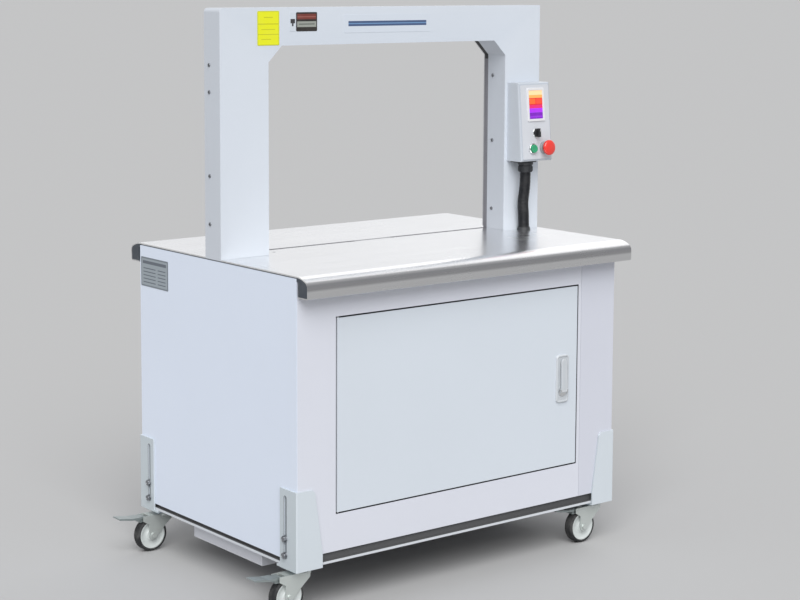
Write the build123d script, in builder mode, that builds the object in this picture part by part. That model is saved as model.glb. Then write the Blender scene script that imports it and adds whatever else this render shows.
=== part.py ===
from build123d import *
import os
from math import atan2, cos, pi, radians, sin, tan

# Semi automatic arch strapping machine, in millimetres. +Z is up, the front door faces -Y, and the
# origin is on the floor under the middle of the cabinet.
os.makedirs("parts", exist_ok=True)

# Cabinet
cabinet_width = 1026.0
cabinet_depth = 693.0
sheet = 2.0                     # folded steel of the panels
base_bottom = 113.0             # underside of the base frame
base_height = 40.0
base_set_back = 8.0             # base rails behind the panel faces
base_lip = 7.0                  # thickness of the flat lip under the base rails
rail_width = 30.0
channel_wall = 3.0
panel_bottom = 129.0
fascia_bottom = 140.0

# Table
table_top = 807.0
table_sheet = 3.0
table_overhang = 16.0           # right end of the table beyond the cabinet
roll_reach = 44.0               # rolled edges beyond the cabinet faces
roll_height = 50.0
roll_crown = 70.0               # large radius of the rolled edge
roll_crown_turn = 30.0          # degrees of roll that the crown radius takes
cap_depth = 3.0
frame_height = 40.0

# Arch
arch_top = 1415.0
opening_left = -371.0
opening_right = 405.0
opening_top = 1322.0
opening_chamfer = 40.0
arch_front = -33.5
arch_back = 35.5
left_corner = 10.0
right_corner = 28.0

# Strap track, on the back of the arch
track_depth = 14.0
track_height = 24.0
track_lip = 4.0                 # plastic between the opening and the strap groove
groove_height = 8.0
gate_thickness = 3.0
slot_gap = 1.0                  # between the table sheets and what stands in their notches

# Door and lock
door_left = -396.0
door_right = 380.5
door_bottom = 233.0
door_top = 698.0
door_gap = 4.0
door_depth = 18.0
door_skin = 1.5
post_seam = 394.0               # where the fascia meets the right side panel's front flange
pivot_offset = 5.0              # door pivot behind the door's front and inside its left edge
pivot_radius = 2.5
lock_x = 328.0
lock_width = 42.0
lock_bottom = 400.0
lock_length = 124.0
lock_plate_depth = 5.0
lock_pocket = 2.0
spindle_radius = 7.0
spindle_height = 430.0
cam_reach = 69.0

# Control box on the right column
box_width = 113.0
box_left = 414.0
box_bottom = 997.0
box_height = 211.0
box_top_depth = 42.0
box_bottom_depth = 59.0
box_wall = 2.5
overlay = 1.5
screen_width = 62.0
screen_height = 90.0
start_radius = 11.0
stop_radius = 20.5
stop_neck = 12.0

# Conduit from the control box into the table
conduit_radius = 15.0
conduit_foot = (462.0, -52.0)
conduit_top = (452.0, -66.5)
gland_length = 30.0

# Adjustable legs and braked casters
leg_plate = 4.0
leg_bottom = 108.0              # underside of the leg's foot plate
leg_top = 300.0
leg_side_width = 67.0
leg_slot_inset = 41.0           # slot centre behind the cabinet's front or back face
leg_slot_low = 136.5
leg_slot_high = 283.0
leg_bolt_heights = (141.0, 181.0)
bolt_radius = 4.0
swivel_inset_x = 35.0
swivel_inset_y = 40.0
wheel_radius = 44.0
wheel_width = 28.0
wheel_trail = 38.0
hub_radius = 35.0
axle_radius = 4.0
king_pin = 6.0
plate_thickness = 5.0

# Reel of strap
reel_x = 120.0
reel_radius = 200.0
reel_width = 190.0
reel_back = -95.0
reel_core = 100.0
reel_height = 380.0
reel_bore = 13.0

# Clearances
running = 0.3                   # between a shaft and the bore it turns in
slide = 0.3                     # between faces that slide on each other
button_gap = 0.4

half_width = cabinet_width / 2
half_depth = cabinet_depth / 2
base_top = base_bottom + base_height
frame_top = table_top - table_sheet
panel_top = frame_top - 3.0
table_left = -half_width
table_right = half_width + table_overhang
arch_centre = (opening_left + opening_right) / 2
track_back = arch_back + track_depth


def bar(x, y, z, mode=Mode.ADD):
    """Block between its low and high limits along X, Y and Z."""
    with Locations(((x[0] + x[1]) / 2, (y[0] + y[1]) / 2, (z[0] + z[1]) / 2)):
        Box(x[1] - x[0], y[1] - y[0], z[1] - z[0], mode=mode)


def rod(axis, centre, radius, length, mode=Mode.ADD):
    """Round bar or bore about a centre point, along X, Y or Z."""
    turns = {"X": (0, 90, 0), "Y": (90, 0, 0), "Z": (0, 0, 0)}
    with Locations(centre):
        Cylinder(radius, length, rotation=turns[axis], mode=mode)


def save(piece, node):
    piece.label = node
    export_step(piece, f"parts/{node}.step")


def pieces(*parts):
    """Several separate solids that stay together in one node."""
    return Compound([solid for part in parts for solid in part.solids()])


# Base frame: C channels around, a flat lip below and a floor sheet on top
rail_x = half_width - base_set_back
rail_y = half_depth - base_set_back
with BuildPart() as base_frame:
    bar((-rail_x, rail_x), (-rail_y, rail_y), (base_bottom, base_top))
    bar((1 - half_width, half_width - 1), (1 - half_depth, half_depth - 1),
        (base_bottom, base_bottom + base_lip))
    bar((rail_width - rail_x, rail_x - rail_width), (rail_width - rail_y, rail_y - rail_width),
        (base_bottom, base_top), Mode.SUBTRACT)
    bar((channel_wall - rail_x, rail_x - channel_wall), (channel_wall - rail_y, rail_y - channel_wall),
        (base_bottom + base_lip, base_top - channel_wall), Mode.SUBTRACT)
    bar((-rail_x, rail_x), (-rail_y, rail_y), (base_top - sheet, base_top))
save(base_frame.part, "base_frame")

# Shallow tray under the base, clear of the swivelling casters
tray_x = half_width - 40.0
tray_y = (-146.0, 160.0)
tray_bottom = 65.0
with BuildPart() as bottom_tray:
    bar((-tray_x, tray_x), tray_y, (tray_bottom, base_bottom))
    bar((sheet - tray_x, tray_x - sheet), (tray_y[0] + sheet, tray_y[1] - sheet),
        (tray_bottom + sheet, base_bottom), Mode.SUBTRACT)
    for side in (-1, 1):
        edge = side * (tray_x + 9)
        bar((edge - 9, edge + 9), tray_y, (base_bottom - sheet, base_bottom))
save(bottom_tray.part, "bottom_tray")

# Side, front and rear panels
rib_height = (base_top + 10, table_top - frame_height - 40)
with BuildPart() as left_side_panel:
    bar((-half_width, sheet - half_width), (-half_depth, half_depth), (panel_bottom, panel_top))
    for rib_y in (-235.0, -5.0):
        bar((sheet - half_width, sheet - half_width + 10), (rib_y - 15, rib_y + 15), rib_height)
save(left_side_panel.part, "left_side_panel")

with BuildPart() as right_side_panel:
    bar((half_width - sheet, half_width), (-half_depth, half_depth), (panel_bottom, panel_top))
    bar((post_seam + 0.8, half_width), (-half_depth, sheet - half_depth), (fascia_bottom, panel_top))
    for rib_y in (-120.0, 120.0):
        bar((half_width - sheet - 10, half_width - sheet), (rib_y - 15, rib_y + 15), rib_height)
save(right_side_panel.part, "right_side_panel")

pivot = (door_left + pivot_offset, -half_depth + pivot_offset)
hole_x = (door_left - door_gap, door_right + door_gap)
hole_z = (door_bottom - door_gap, door_top + door_gap)
return_depth = door_depth + 3.0
with BuildPart() as front_fascia:
    bar((sheet - half_width, post_seam), (-half_depth, sheet - half_depth), (fascia_bottom, panel_top))
    bar((hole_x[0] - sheet, hole_x[1] + sheet), (-half_depth, return_depth - half_depth),
        (hole_z[0] - sheet, hole_z[1] + sheet))
    bar(hole_x, (-half_depth, return_depth - half_depth), hole_z, Mode.SUBTRACT)
    rod("Z", (*pivot, (hole_z[0] + hole_z[1]) / 2), pivot_radius, 600, Mode.SUBTRACT)
save(front_fascia.part, "front_fascia")

vent_columns = 4
vent_rows = 8
vent_low = 560.0                # middle of the lowest row of slots
vent_pitch = 18.0
vent_spacing = 150.0
vent_width = 90.0
vent_height = 7.0
inlet = (420.0, 220.0)          # mains inlet in X and Z
inlet_radius = 10.0
with BuildPart() as rear_panel:
    bar((sheet - half_width, half_width - sheet), (half_depth - sheet, half_depth),
        (fascia_bottom, panel_top))
    for row in range(vent_rows):
        with Locations((0, half_depth - sheet / 2, vent_low + row * vent_pitch)):
            with GridLocations(vent_spacing, 1.0, vent_columns, 1):
                Box(vent_width, sheet, vent_height, mode=Mode.SUBTRACT)
    rod("Y", (inlet[0], half_depth - sheet / 2, inlet[1]), inlet_radius + running, sheet, Mode.SUBTRACT)
save(rear_panel.part, "rear_panel")

# Welded frame under the table, with pads that carry the columns
frame_bottom = frame_top - frame_height
frame_x = half_width - sheet
frame_y = half_depth - sheet
front_cross = (-115.0, -85.0)
rear_cross = (150.0, 180.0)
pad_depth = 8.0
with BuildPart() as table_frame:
    bar((-frame_x, frame_x), (-frame_y, frame_y), (frame_bottom, frame_top))
    bar((rail_width - frame_x, frame_x - rail_width), (rail_width - frame_y, frame_y - rail_width),
        (frame_bottom, frame_top), Mode.SUBTRACT)
    bar((channel_wall - frame_x, frame_x - channel_wall), (channel_wall - frame_y, frame_y - channel_wall),
        (frame_bottom + channel_wall, frame_top - channel_wall), Mode.SUBTRACT)
    for cross in (front_cross, rear_cross):
        bar((channel_wall - frame_x, frame_x - channel_wall), cross, (frame_bottom, frame_top))
    for pad in ((-frame_x, opening_left), (opening_right, frame_x)):
        bar(pad, (front_cross[1], arch_back), (frame_top - pad_depth, frame_top))
    rod("Z", (*conduit_foot, frame_top), conduit_radius + 1, 3 * pad_depth, Mode.SUBTRACT)
save(table_frame.part, "table_frame")

# Rolled table sheets: flat top, large crown radius, small nose radius, plain skirt and a return
crown = radians(roll_crown_turn)
nose_radius = (roll_reach - 1 - roll_crown * sin(crown)) / (1 - sin(crown))
roll_start = half_depth + 1
nose_drop = roll_crown * (1 - cos(crown)) + nose_radius * cos(crown)


def roll_line(inner_edge):
    """Outside line of a table sheet in the YZ plane, for the rear table."""
    JernArc((roll_start, table_top), (1, 0), roll_crown, -roll_crown_turn)
    crown_end = (roll_start + roll_crown * sin(crown), table_top - roll_crown * (1 - cos(crown)))
    JernArc(crown_end, (cos(crown), -sin(crown)), nose_radius, roll_crown_turn - 90)
    nose = roll_start + roll_crown * sin(crown) + nose_radius * (1 - sin(crown))
    Line((inner_edge, table_top), (roll_start, table_top))
    low = table_top - roll_height
    Line((nose, table_top - nose_drop), (nose, low + 5))
    JernArc((nose, low + 5), (0, -1), 5, -90)
    Line((nose - 5, low), (half_depth + 6, low))


def table_profile(inner_edge):
    with BuildSketch() as profile:
        with BuildLine():
            roll_line(inner_edge)
            offset(amount=table_sheet, side=Side.RIGHT)
        make_face()
    return profile.sketch


# The front table is drawn facing the rear and mirrored; its notches go round the columns
table_width = table_right - table_left
table_screws = (opening_left + 40, opening_right - 40)
table_screw_y = 2.5
table_screw_radius = 4.0
with BuildPart() as front_half:
    with BuildSketch(Plane.YZ.offset(table_left)):
        add(table_profile(-arch_back))
    extrude(amount=table_width)
    for notch in ((table_left, opening_left + slot_gap), (opening_right - slot_gap, table_right)):
        bar(notch, (-arch_back, slot_gap - arch_front), (frame_top, table_top), Mode.SUBTRACT)
    rod("Z", (conduit_foot[0], -conduit_foot[1], table_top), conduit_radius + running, 20, Mode.SUBTRACT)
    for screw_x in table_screws:
        rod("Z", (screw_x, -table_screw_y, table_top), table_screw_radius, 20, Mode.SUBTRACT)
save(mirror(front_half.part, about=Plane.XZ), "front_table")

with BuildPart() as rear_table:
    with BuildSketch(Plane.YZ.offset(table_left)):
        add(table_profile(arch_back + slot_gap))
    extrude(amount=table_width)
    bar((opening_left - track_height - slot_gap, opening_right + track_height + slot_gap),
        (arch_back, track_back + slot_gap), (frame_top, table_top), Mode.SUBTRACT)
save(rear_table.part, "rear_table")

cap_ends = (table_left, table_right - cap_depth)
cap_edge = half_depth + 6
with BuildPart() as rear_caps:
    for cap_x in cap_ends:
        with BuildSketch(Plane.YZ.offset(cap_x)):
            with BuildLine():
                roll_line(roll_start - 1)
                Polyline((cap_edge, table_top - roll_height), (cap_edge, table_top - 12),
                         (roll_start - 1, table_top - 12), (roll_start - 1, table_top))
            make_face()
            add(table_profile(arch_back), mode=Mode.SUBTRACT)
        extrude(amount=cap_depth)
save(pieces(rear_caps.part, mirror(rear_caps.part, about=Plane.XZ)), "table_end_caps")


def arch_outline(grow=0.0, foot=0.0):
    """Front view of the arch in XZ, with its foot raised; grow makes the steel thicker."""
    low = frame_top + foot
    with BuildSketch() as outline:
        with BuildLine():
            Polyline((table_left - grow, low), (table_left - grow, arch_top + grow),
                     (table_right + grow, arch_top + grow), (table_right + grow, low),
                     (opening_right - grow, low),
                     (opening_right - grow, opening_top - opening_chamfer),
                     (opening_right - opening_chamfer, opening_top - grow),
                     (opening_left + opening_chamfer, opening_top - grow),
                     (opening_left + grow, opening_top - opening_chamfer),
                     (opening_left + grow, low), close=True)
        make_face()
        corners = outline.vertices().group_by(Axis.Y)[-1].sort_by(Axis.X)
        fillet(corners[0], left_corner + grow)
        fillet(corners[-1], right_corner + grow)
    return outline.sketch


outer_screws = (890.0, 1008.0, 1212.0, 1277.5)
inner_screws = (863.0, 1050.0, 1226.0)
screw_faces = ((table_left, -1, outer_screws, 13.5), (table_right, 1, outer_screws, 13.5),
               (opening_left, 1, inner_screws, 16.5), (opening_right, -1, inner_screws, 16.5))
screw_radius = 2.0
screw_places = [(face, out, y, z) for face, out, heights, y in screw_faces for z in heights]


with BuildPart() as arch_front_cover:
    with BuildSketch(Plane.XZ.offset(-arch_front)):
        add(arch_outline())
    extrude(amount=-sheet)
save(arch_front_cover.part, "arch_front_cover")

with BuildPart() as arch_shell:
    with BuildSketch(Plane.XZ.offset(-arch_front - sheet)):
        add(arch_outline())
    extrude(amount=-(arch_back - arch_front - sheet))
    with BuildSketch(Plane.XZ.offset(-arch_front - sheet)):
        add(arch_outline(-sheet, sheet))
    extrude(amount=-(arch_back - arch_front - 2 * sheet), mode=Mode.SUBTRACT)
    for face, out, screw_y, screw_z in screw_places:
        rod("X", (face, screw_y, screw_z), screw_radius, 3 * sheet, Mode.SUBTRACT)


def section(whole, x, z):
    """The stretch of a folded or moulded piece between two limits, joined to the next one."""
    with BuildPart() as stretch:
        add(whole)
        bar(x, (arch_front, track_back), z, Mode.INTERSECT)
    return stretch.part


knee = opening_top - opening_chamfer
beam_left = opening_left + opening_chamfer
beam_right = opening_right - opening_chamfer
shell = arch_shell.part
save(pieces(section(shell, (table_left, opening_left), (frame_top, knee)),
            section(shell, (opening_right, table_right), (frame_top, knee)),
            section(shell, (table_left, beam_left), (knee, arch_top)),
            section(shell, (beam_right, table_right), (knee, arch_top)),
            section(shell, (beam_left, beam_right), (opening_top, arch_top))), "arch_shell")


# Strap track ring behind the opening, open at the head, with its groove open to the rear
def ring_outline(inset, low):
    """Ring from the opening's edge outward, or the groove inside it."""
    bevel = opening_chamfer + 0.6 * inset
    return [(opening_left - inset, low), (opening_left - inset, opening_top - opening_chamfer),
            (opening_left + bevel - inset, opening_top + inset),
            (opening_right - bevel + inset, opening_top + inset),
            (opening_right + inset, opening_top - opening_chamfer), (opening_right + inset, low)]


def ring(near, far, low_near, low_far):
    with BuildSketch() as band:
        with BuildLine():
            Polyline(*ring_outline(far, low_far), close=True)
        make_face()
        with BuildLine():
            Polyline(*ring_outline(near, low_near), close=True)
        make_face(mode=Mode.SUBTRACT)
    return band.sketch


head_half = 67.0                # half the gap that the sealing head takes in the bottom run
pin_reach = 10.0
pin_radius = 3.0
gate_low = table_top + 5
pin_places = [(side * 0.5 * (opening_right - opening_left + track_height + 12) + arch_centre, pin_z)
              for side in (-1, 1) for pin_z in (900.0, 1200.0)]
pin_places += [(arch_centre + shift, opening_top + track_height - 6) for shift in (-250.0, 250.0)]
with BuildPart() as strap_track:
    with BuildSketch(Plane.XZ.offset(-arch_back)):
        add(ring(0, track_height, table_top - 1, table_top - track_height))
    extrude(amount=-track_depth)
    with BuildSketch(Plane.XZ.offset(-arch_back - 1.5)):
        add(ring(track_lip, track_lip + groove_height, table_top - 1 - track_lip,
                 table_top - 1 - track_lip - groove_height))
    extrude(amount=-track_depth, mode=Mode.SUBTRACT)
    bar((arch_centre - head_half, arch_centre + head_half), (arch_back, track_back),
        (table_top - track_height, table_top), Mode.SUBTRACT)
    for pin_x, pin_z in pin_places:
        rod("Y", (pin_x, track_back, pin_z), pin_radius + running, 2 * pin_reach + 2, Mode.SUBTRACT)
track = strap_track.part
track_low = (table_top - track_height, gate_low)
save(pieces(section(track, (opening_left - track_height, opening_left), (gate_low, knee)),
            section(track, (opening_right, opening_right + track_height), (gate_low, knee)),
            section(track, (opening_left - track_height, beam_left), (knee, arch_top)),
            section(track, (beam_right, opening_right + track_height), (knee, arch_top)),
            section(track, (beam_left, beam_right), (opening_top, arch_top)),
            section(track, (opening_left - track_height, arch_centre), track_low),
            section(track, (arch_centre, opening_right + track_height), track_low)), "strap_track")

with BuildPart() as track_gate:
    with BuildSketch(Plane.XZ.offset(-track_back - slide)):
        add(ring(0, track_height, gate_low - 1, gate_low))
    extrude(amount=-gate_thickness)
    for pin_x, pin_z in pin_places:
        rod("Y", (pin_x, track_back + 1 - pin_reach / 2, pin_z), pin_radius, pin_reach)
save(track_gate.part, "track_gate")

# Screws of the arch covers and the table
with BuildPart() as cover_screws:
    for face, out, screw_y, screw_z in screw_places:
        rod("X", (face + out * 1.25, screw_y, screw_z), 2 * screw_radius, 2.5)
        rod("X", (face - out * 4, screw_y, screw_z), screw_radius, 8)
    for screw_x in table_screws:
        rod("Z", (screw_x, table_screw_y, table_top - table_sheet / 2), table_screw_radius, table_sheet)
save(cover_screws.part, "cover_screws")

# Blank plates and labels: arch beam front and left side panel
with BuildPart() as name_plates:
    for low_x, high_x, low_z, high_z in ((-404, -339, 1323, 1407), (-308, -289, 1356, 1403),
                                         (-288, -224, 1356, 1403), (-140, 141, 1350, 1396)):
        bar((low_x, high_x), (arch_front - 0.6, arch_front), (low_z, high_z))
    bar((-half_width - 0.8, -half_width), (210.5, 341.5), (697, 773))
save(name_plates.part, "name_plates")

# Front door: a folded pan that turns on two pins near its front left edge
door_z = (door_bottom, door_top)
with BuildPart() as front_door:
    bar((door_left, door_right), (-half_depth, door_depth - half_depth), door_z)
    bar((door_left + door_skin, door_right - door_skin), (door_skin - half_depth, door_depth - half_depth),
        (door_bottom + door_skin, door_top - door_skin), Mode.SUBTRACT)
    rod("Z", (*pivot, (door_bottom + door_top) / 2), pivot_radius + running, 600, Mode.SUBTRACT)
    rod("Y", (lock_x, -half_depth, spindle_height), spindle_radius + running, 20, Mode.SUBTRACT)
save(front_door.part, "front_door")

with BuildPart() as door_hinges:
    for pin_z in (hole_z[0] - sheet, hole_z[1] + sheet):
        inward = 1 if pin_z < door_bottom else -1
        rod("Z", (*pivot, pin_z + inward * 6), pivot_radius, 12)
        rod("Z", (*pivot, pin_z - inward * 1), pivot_radius + 0.4, 2)
save(door_hinges.part, "door_hinges")

# Lock: plate with a shallow pocket, spindle with its cam, and a lever that lifts on a cross pin
plate_front = -half_depth - lock_plate_depth
with BuildPart() as lock_plate:
    with BuildSketch(Plane.XZ.offset(half_depth)):
        with Locations((lock_x, lock_bottom + lock_length / 2)):
            RectangleRounded(lock_width, lock_length, 9)
    extrude(amount=lock_plate_depth)
    with BuildSketch(Plane.XZ.offset(-plate_front)):
        with Locations((lock_x, lock_bottom + lock_length / 2)):
            RectangleRounded(lock_width - 10, lock_length - 10, 6)
    extrude(amount=-lock_pocket, mode=Mode.SUBTRACT)
    fillet(lock_plate.faces().sort_by(Axis.Y)[0].outer_wire().edges(), 1.2)
    rod("Y", (lock_x, -half_depth, spindle_height), spindle_radius + running, 20, Mode.SUBTRACT)
save(lock_plate.part, "lock_plate")

pocket_floor = plate_front + lock_pocket
lever_back = plate_front - 0.5
lever_depth = 7.5
lever_half = 9.0
cross_y = lever_back - lever_depth / 2
ear = 3.0
cam_y = return_depth - half_depth + 2
with BuildPart() as lock_spindle:
    rod("Y", (lock_x, (pocket_floor - 1 + cam_y) / 2, spindle_height), spindle_radius,
        cam_y - pocket_floor + 1)
    rod("Y", (lock_x, pocket_floor - 1.1, spindle_height), 14.0, 1.8)
    bar((lock_x - 6, lock_x + 6), (cam_y, cam_y + 4), (spindle_height - 10, spindle_height + cam_reach))
    for ear_x in (lock_x - lever_half - slide - ear, lock_x + lever_half + slide):
        bar((ear_x, ear_x + ear), (cross_y - 3, pocket_floor - 0.4),
            (spindle_height - 4, spindle_height + 4))
    rod("X", (lock_x, cross_y, spindle_height), 2.0, 2 * (lever_half + ear))
    fillet(lock_spindle.edges().filter_by(Axis.Y).group_by(Axis.Z)[-1], 3)
save(lock_spindle.part, "lock_spindle")

with BuildPart() as lock_lever:
    bar((lock_x - lever_half, lock_x + lever_half), (lever_back - lever_depth, lever_back),
        (spindle_height, lock_bottom + lock_length - 10))
    fillet(lock_lever.edges().filter_by(Axis.Y).group_by(Axis.Z)[-1], 7)
    rod("X", (lock_x, cross_y, spindle_height), lever_depth / 2, 2 * lever_half)
    rod("X", (lock_x, cross_y, spindle_height), 2.0 + running, 3 * lever_half, Mode.SUBTRACT)
save(lock_lever.part, "lock_lever")

# Control box: a sloped front on the right column
box_middle = box_left + box_width / 2
box_top = box_bottom + box_height
slope = atan2(box_bottom_depth - box_top_depth, box_height)
face_middle = arch_front - (box_top_depth + box_bottom_depth) / 2
face_length = box_height / cos(slope)
box_face = Plane(origin=(box_middle, face_middle, box_bottom + box_height / 2), x_dir=(1, 0, 0),
                 z_dir=(0, -cos(slope), sin(slope)))
panel_face = box_face.offset(overlay)
start_place = (-15.5, -71.7)
stop_place = (26.5, -70.7)
selector_place = (0.5, -29.6)
screen_place = (1.0, 46.6)
stem_radius = 5.0
stem_places = (start_place, stop_place, selector_place)
with BuildPart() as control_box:
    with BuildSketch(Plane.YZ.offset(box_left)):
        with BuildLine():
            Polyline((arch_front, box_bottom), (arch_front, box_top),
                     (arch_front - box_top_depth, box_top),
                     (arch_front - box_bottom_depth, box_bottom), close=True)
        make_face()
    extrude(amount=box_width)
    front_edges = control_box.faces().sort_by(Axis.Y)[0].edges()
    fillet(front_edges, 5)
    offset(amount=-box_wall, openings=control_box.faces().sort_by(Axis.Y)[-1])
    with BuildSketch(box_face):
        with Locations(*stem_places):
            Circle(stem_radius + button_gap)
    extrude(amount=-20, mode=Mode.SUBTRACT)
save(control_box.part, "control_box")

with BuildPart() as control_panel:
    with BuildSketch(box_face):
        RectangleRounded(box_width - 12, face_length - 12, 5)
        with Locations(*stem_places):
            Circle(stem_radius + button_gap, mode=Mode.SUBTRACT)
    extrude(amount=overlay)
save(control_panel.part, "control_panel")

with BuildPart() as touch_screen:
    with BuildSketch(panel_face):
        with Locations(screen_place):
            RectangleRounded(screen_width, screen_height, 4)
    extrude(amount=3.0)
    fillet(touch_screen.faces().sort_by(Axis.Y)[0].edges(), 1)
save(touch_screen.part, "touch_screen")

bezel_height = 5.0
collar_height = 8.0
with BuildPart() as button_bezels:
    with BuildSketch(panel_face):
        with Locations(start_place):
            Circle(start_radius + 3.5)
            Circle(start_radius + button_gap, mode=Mode.SUBTRACT)
    extrude(amount=bezel_height)
    with BuildSketch(panel_face):
        with Locations(stop_place):
            Circle(stop_neck + 5)
            Circle(stop_neck + button_gap, mode=Mode.SUBTRACT)
    extrude(amount=collar_height)
    with BuildSketch(panel_face):
        with Locations(selector_place):
            Circle(13.0)
            Circle(stem_radius + button_gap, mode=Mode.SUBTRACT)
    extrude(amount=2.0)
save(button_bezels.part, "button_bezels")


def push_button(place, cap_radius, cap_low, cap_high, neck_radius, neck_low):
    """Button on the sloped panel: cap, neck and a stem through the panel."""
    with BuildPart() as button:
        with BuildSketch(panel_face.offset(cap_low)):
            with Locations(place):
                Circle(cap_radius)
        extrude(amount=cap_high - cap_low)
        fillet(button.edges().filter_by(GeomType.CIRCLE), min(2.0, (cap_high - cap_low) / 3))
        with BuildSketch(panel_face.offset(neck_low)):
            with Locations(place):
                Circle(neck_radius)
        extrude(amount=cap_low - neck_low + 1)
        with BuildSketch(panel_face.offset(-14.0)):
            with Locations(place):
                Circle(stem_radius)
        extrude(amount=neck_low + 14.5)
    return button.part


save(push_button(start_place, start_radius, 4.0, 9.5, start_radius - 1, 3.5), "start_button")
save(push_button(stop_place, stop_radius, 16.0, 30.0, stop_neck, 6.0), "e_stop_button")

with BuildPart() as selector_knob:
    with BuildSketch(panel_face.offset(2.4)):
        with Locations(selector_place):
            Circle(11.0)
    extrude(amount=5)
    with BuildSketch(panel_face.offset(2.4)):
        with Locations(selector_place):
            RectangleRounded(7, 24, 3)
    extrude(amount=14)
    with BuildSketch(panel_face.offset(-12)):
        with Locations(selector_place):
            Circle(stem_radius)
    extrude(amount=14.6)
save(selector_knob.part, "selector_knob")

# Conduit, held from the box gland to the table's grommet
gland_low = box_bottom - gland_length
with BuildPart() as conduit_fittings:
    rod("Z", (*conduit_top, box_bottom - 6), 21.0, 12)
    rod("Z", (*conduit_top, box_bottom - 12 - (gland_length - 12) / 2), 18.5, gland_length - 12)
    rod("Z", (*conduit_foot, table_top + 4), conduit_radius + 3, 8)
    rod("Z", (*conduit_foot, table_top + 4), conduit_radius, 8, Mode.SUBTRACT)
    rod("Y", (inlet[0], half_depth + 12, inlet[1]), inlet_radius + 4, 24)
    rod("Y", (inlet[0], half_depth - 4, inlet[1]), inlet_radius, 8)
    rod("Y", (inlet[0], half_depth + 10, inlet[1]), inlet_radius / 2, 40, Mode.SUBTRACT)
save(conduit_fittings.part, "conduit_fittings")

conduit_end = frame_top - pad_depth - 12
conduit_route = [Vector(*conduit_top, gland_low), Vector(*conduit_top, gland_low - 40),
                 Vector(448.0, -61.0, gland_low - 84), Vector(*conduit_foot, gland_low - 124),
                 Vector(*conduit_foot, conduit_end)]
conduit_radii = []
for before, corner, after in zip(conduit_route, conduit_route[1:], conduit_route[2:]):
    turn = radians((corner - before).get_angle(after - corner))
    shorter = min((corner - before).length, (after - corner).length)
    conduit_radii.append(0.45 * shorter / tan(turn / 2))
print("conduit radii", [round(radius) for radius in conduit_radii])
with BuildPart() as control_conduit:
    with BuildLine():
        FilletPolyline(*conduit_route, radius=conduit_radii)
    with BuildSketch(Plane(origin=conduit_route[0], z_dir=(0, 0, -1))):
        Circle(conduit_radius)
    sweep()
conduit_section = pi * conduit_radius ** 2
print("conduit volume over section", round(control_conduit.part.volume / conduit_section, 1))
save(control_conduit.part, "control_conduit")

# Sealing head under the strap slot: side plates hung between the cross rails, anvil bar on top
head_plate = 8.0
head_x = 52.0
head_top = 800.0
head_bottom = 640.0
strap_y = (arch_back + track_back) / 2
shaft_z = 658.0
shaft_radius = 8.0
feed_x = arch_centre + 153.0
feed_z = 700.0
feed_radius = 30.0
pinch_radius = 15.0
roller_width = 14.0
roller_plate = (strap_y + 13, strap_y + 19)
pinch_z = feed_z + feed_radius + pinch_radius + 1
with BuildPart() as sealing_head_frame:
    for side in (-1, 1):
        plate_x = arch_centre + side * (head_x + head_plate / 2)
        bar((plate_x - head_plate / 2, plate_x + head_plate / 2), (front_cross[1], rear_cross[0]),
            (head_bottom, head_top))
    bar((arch_centre - head_x, arch_centre + head_x), (front_cross[1], front_cross[1] + head_plate),
        (head_bottom, head_top - 30))
    bar((arch_centre - head_x - head_plate, arch_centre + head_x + head_plate),
        (arch_back + slide, track_back + 0.5), (head_top, table_top - 1))
    bar((arch_centre + head_x + head_plate, feed_x + 60), roller_plate, (head_bottom + 20, 780))
    rod("X", (arch_centre, strap_y, shaft_z), shaft_radius + running, 300, Mode.SUBTRACT)
    for roller_z in (feed_z, pinch_z):
        rod("Y", (feed_x, strap_y + 16, roller_z), 5 + running, 12, Mode.SUBTRACT)
save(sealing_head_frame.part, "sealing_head_frame")

shaft_ends = (arch_centre - head_x - 30, arch_centre + head_x + 14)
with BuildPart() as cam_shaft:
    rod("X", ((shaft_ends[0] + shaft_ends[1]) / 2, strap_y, shaft_z), shaft_radius,
        shaft_ends[1] - shaft_ends[0])
    for cam_x, drop in ((-38.0, 4.0), (0.0, -4.0), (38.0, 4.0)):
        rod("X", (arch_centre + cam_x, strap_y, shaft_z + drop), 17.0, 12)
save(cam_shaft.part, "cam_shaft")

with BuildPart() as gear_motor:
    motor_x = shaft_ends[0] - 1
    bar((motor_x - 70, motor_x), (strap_y - 45, strap_y + 45), (shaft_z - 50, shaft_z + 50))
    rod("X", (motor_x - 145, strap_y, shaft_z), 42.0, 150)
    fillet(gear_motor.edges().filter_by(GeomType.CIRCLE).sort_by(Axis.X)[0], 5)
with BuildPart() as feed_motor:
    rod("Y", (feed_x, roller_plate[1] + 45, feed_z), 34.0, 90)
with BuildPart() as motor_hanger:
    bar((motor_x - 66, motor_x - 4), (strap_y - 40, strap_y + 40), (shaft_z + 50, shaft_z + 56))
    bar((motor_x - 66, motor_x - 4), (front_cross[1], front_cross[1] + 6), (shaft_z + 50, frame_top - 4))
    bar((motor_x - 66, motor_x - 4), (front_cross[1], strap_y - 40), (shaft_z + 50, shaft_z + 56))
save(pieces(gear_motor.part, feed_motor.part, motor_hanger.part), "drive_motors")

press_top = 788.0
press_low = 704.0
gripper_low = shaft_z + 26.0    # just above the cams
gripper_bar = 10.0
press_half = 12.0
with BuildPart() as seal_press:
    bar((arch_centre - 24, arch_centre + 24), (strap_y - press_half, strap_y + press_half),
        (press_low, press_top))
save(seal_press.part, "seal_press")

with BuildPart() as strap_gripper:
    bar((arch_centre - 45, arch_centre + 45), (strap_y - press_half, strap_y + press_half),
        (gripper_low, gripper_low + gripper_bar))
    for side in (-1, 1):
        jaw_x = arch_centre + side * 36
        bar((jaw_x - 9, jaw_x + 9), (strap_y - press_half, strap_y + press_half),
            (gripper_low, press_top + 3))
save(strap_gripper.part, "strap_gripper")

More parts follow.
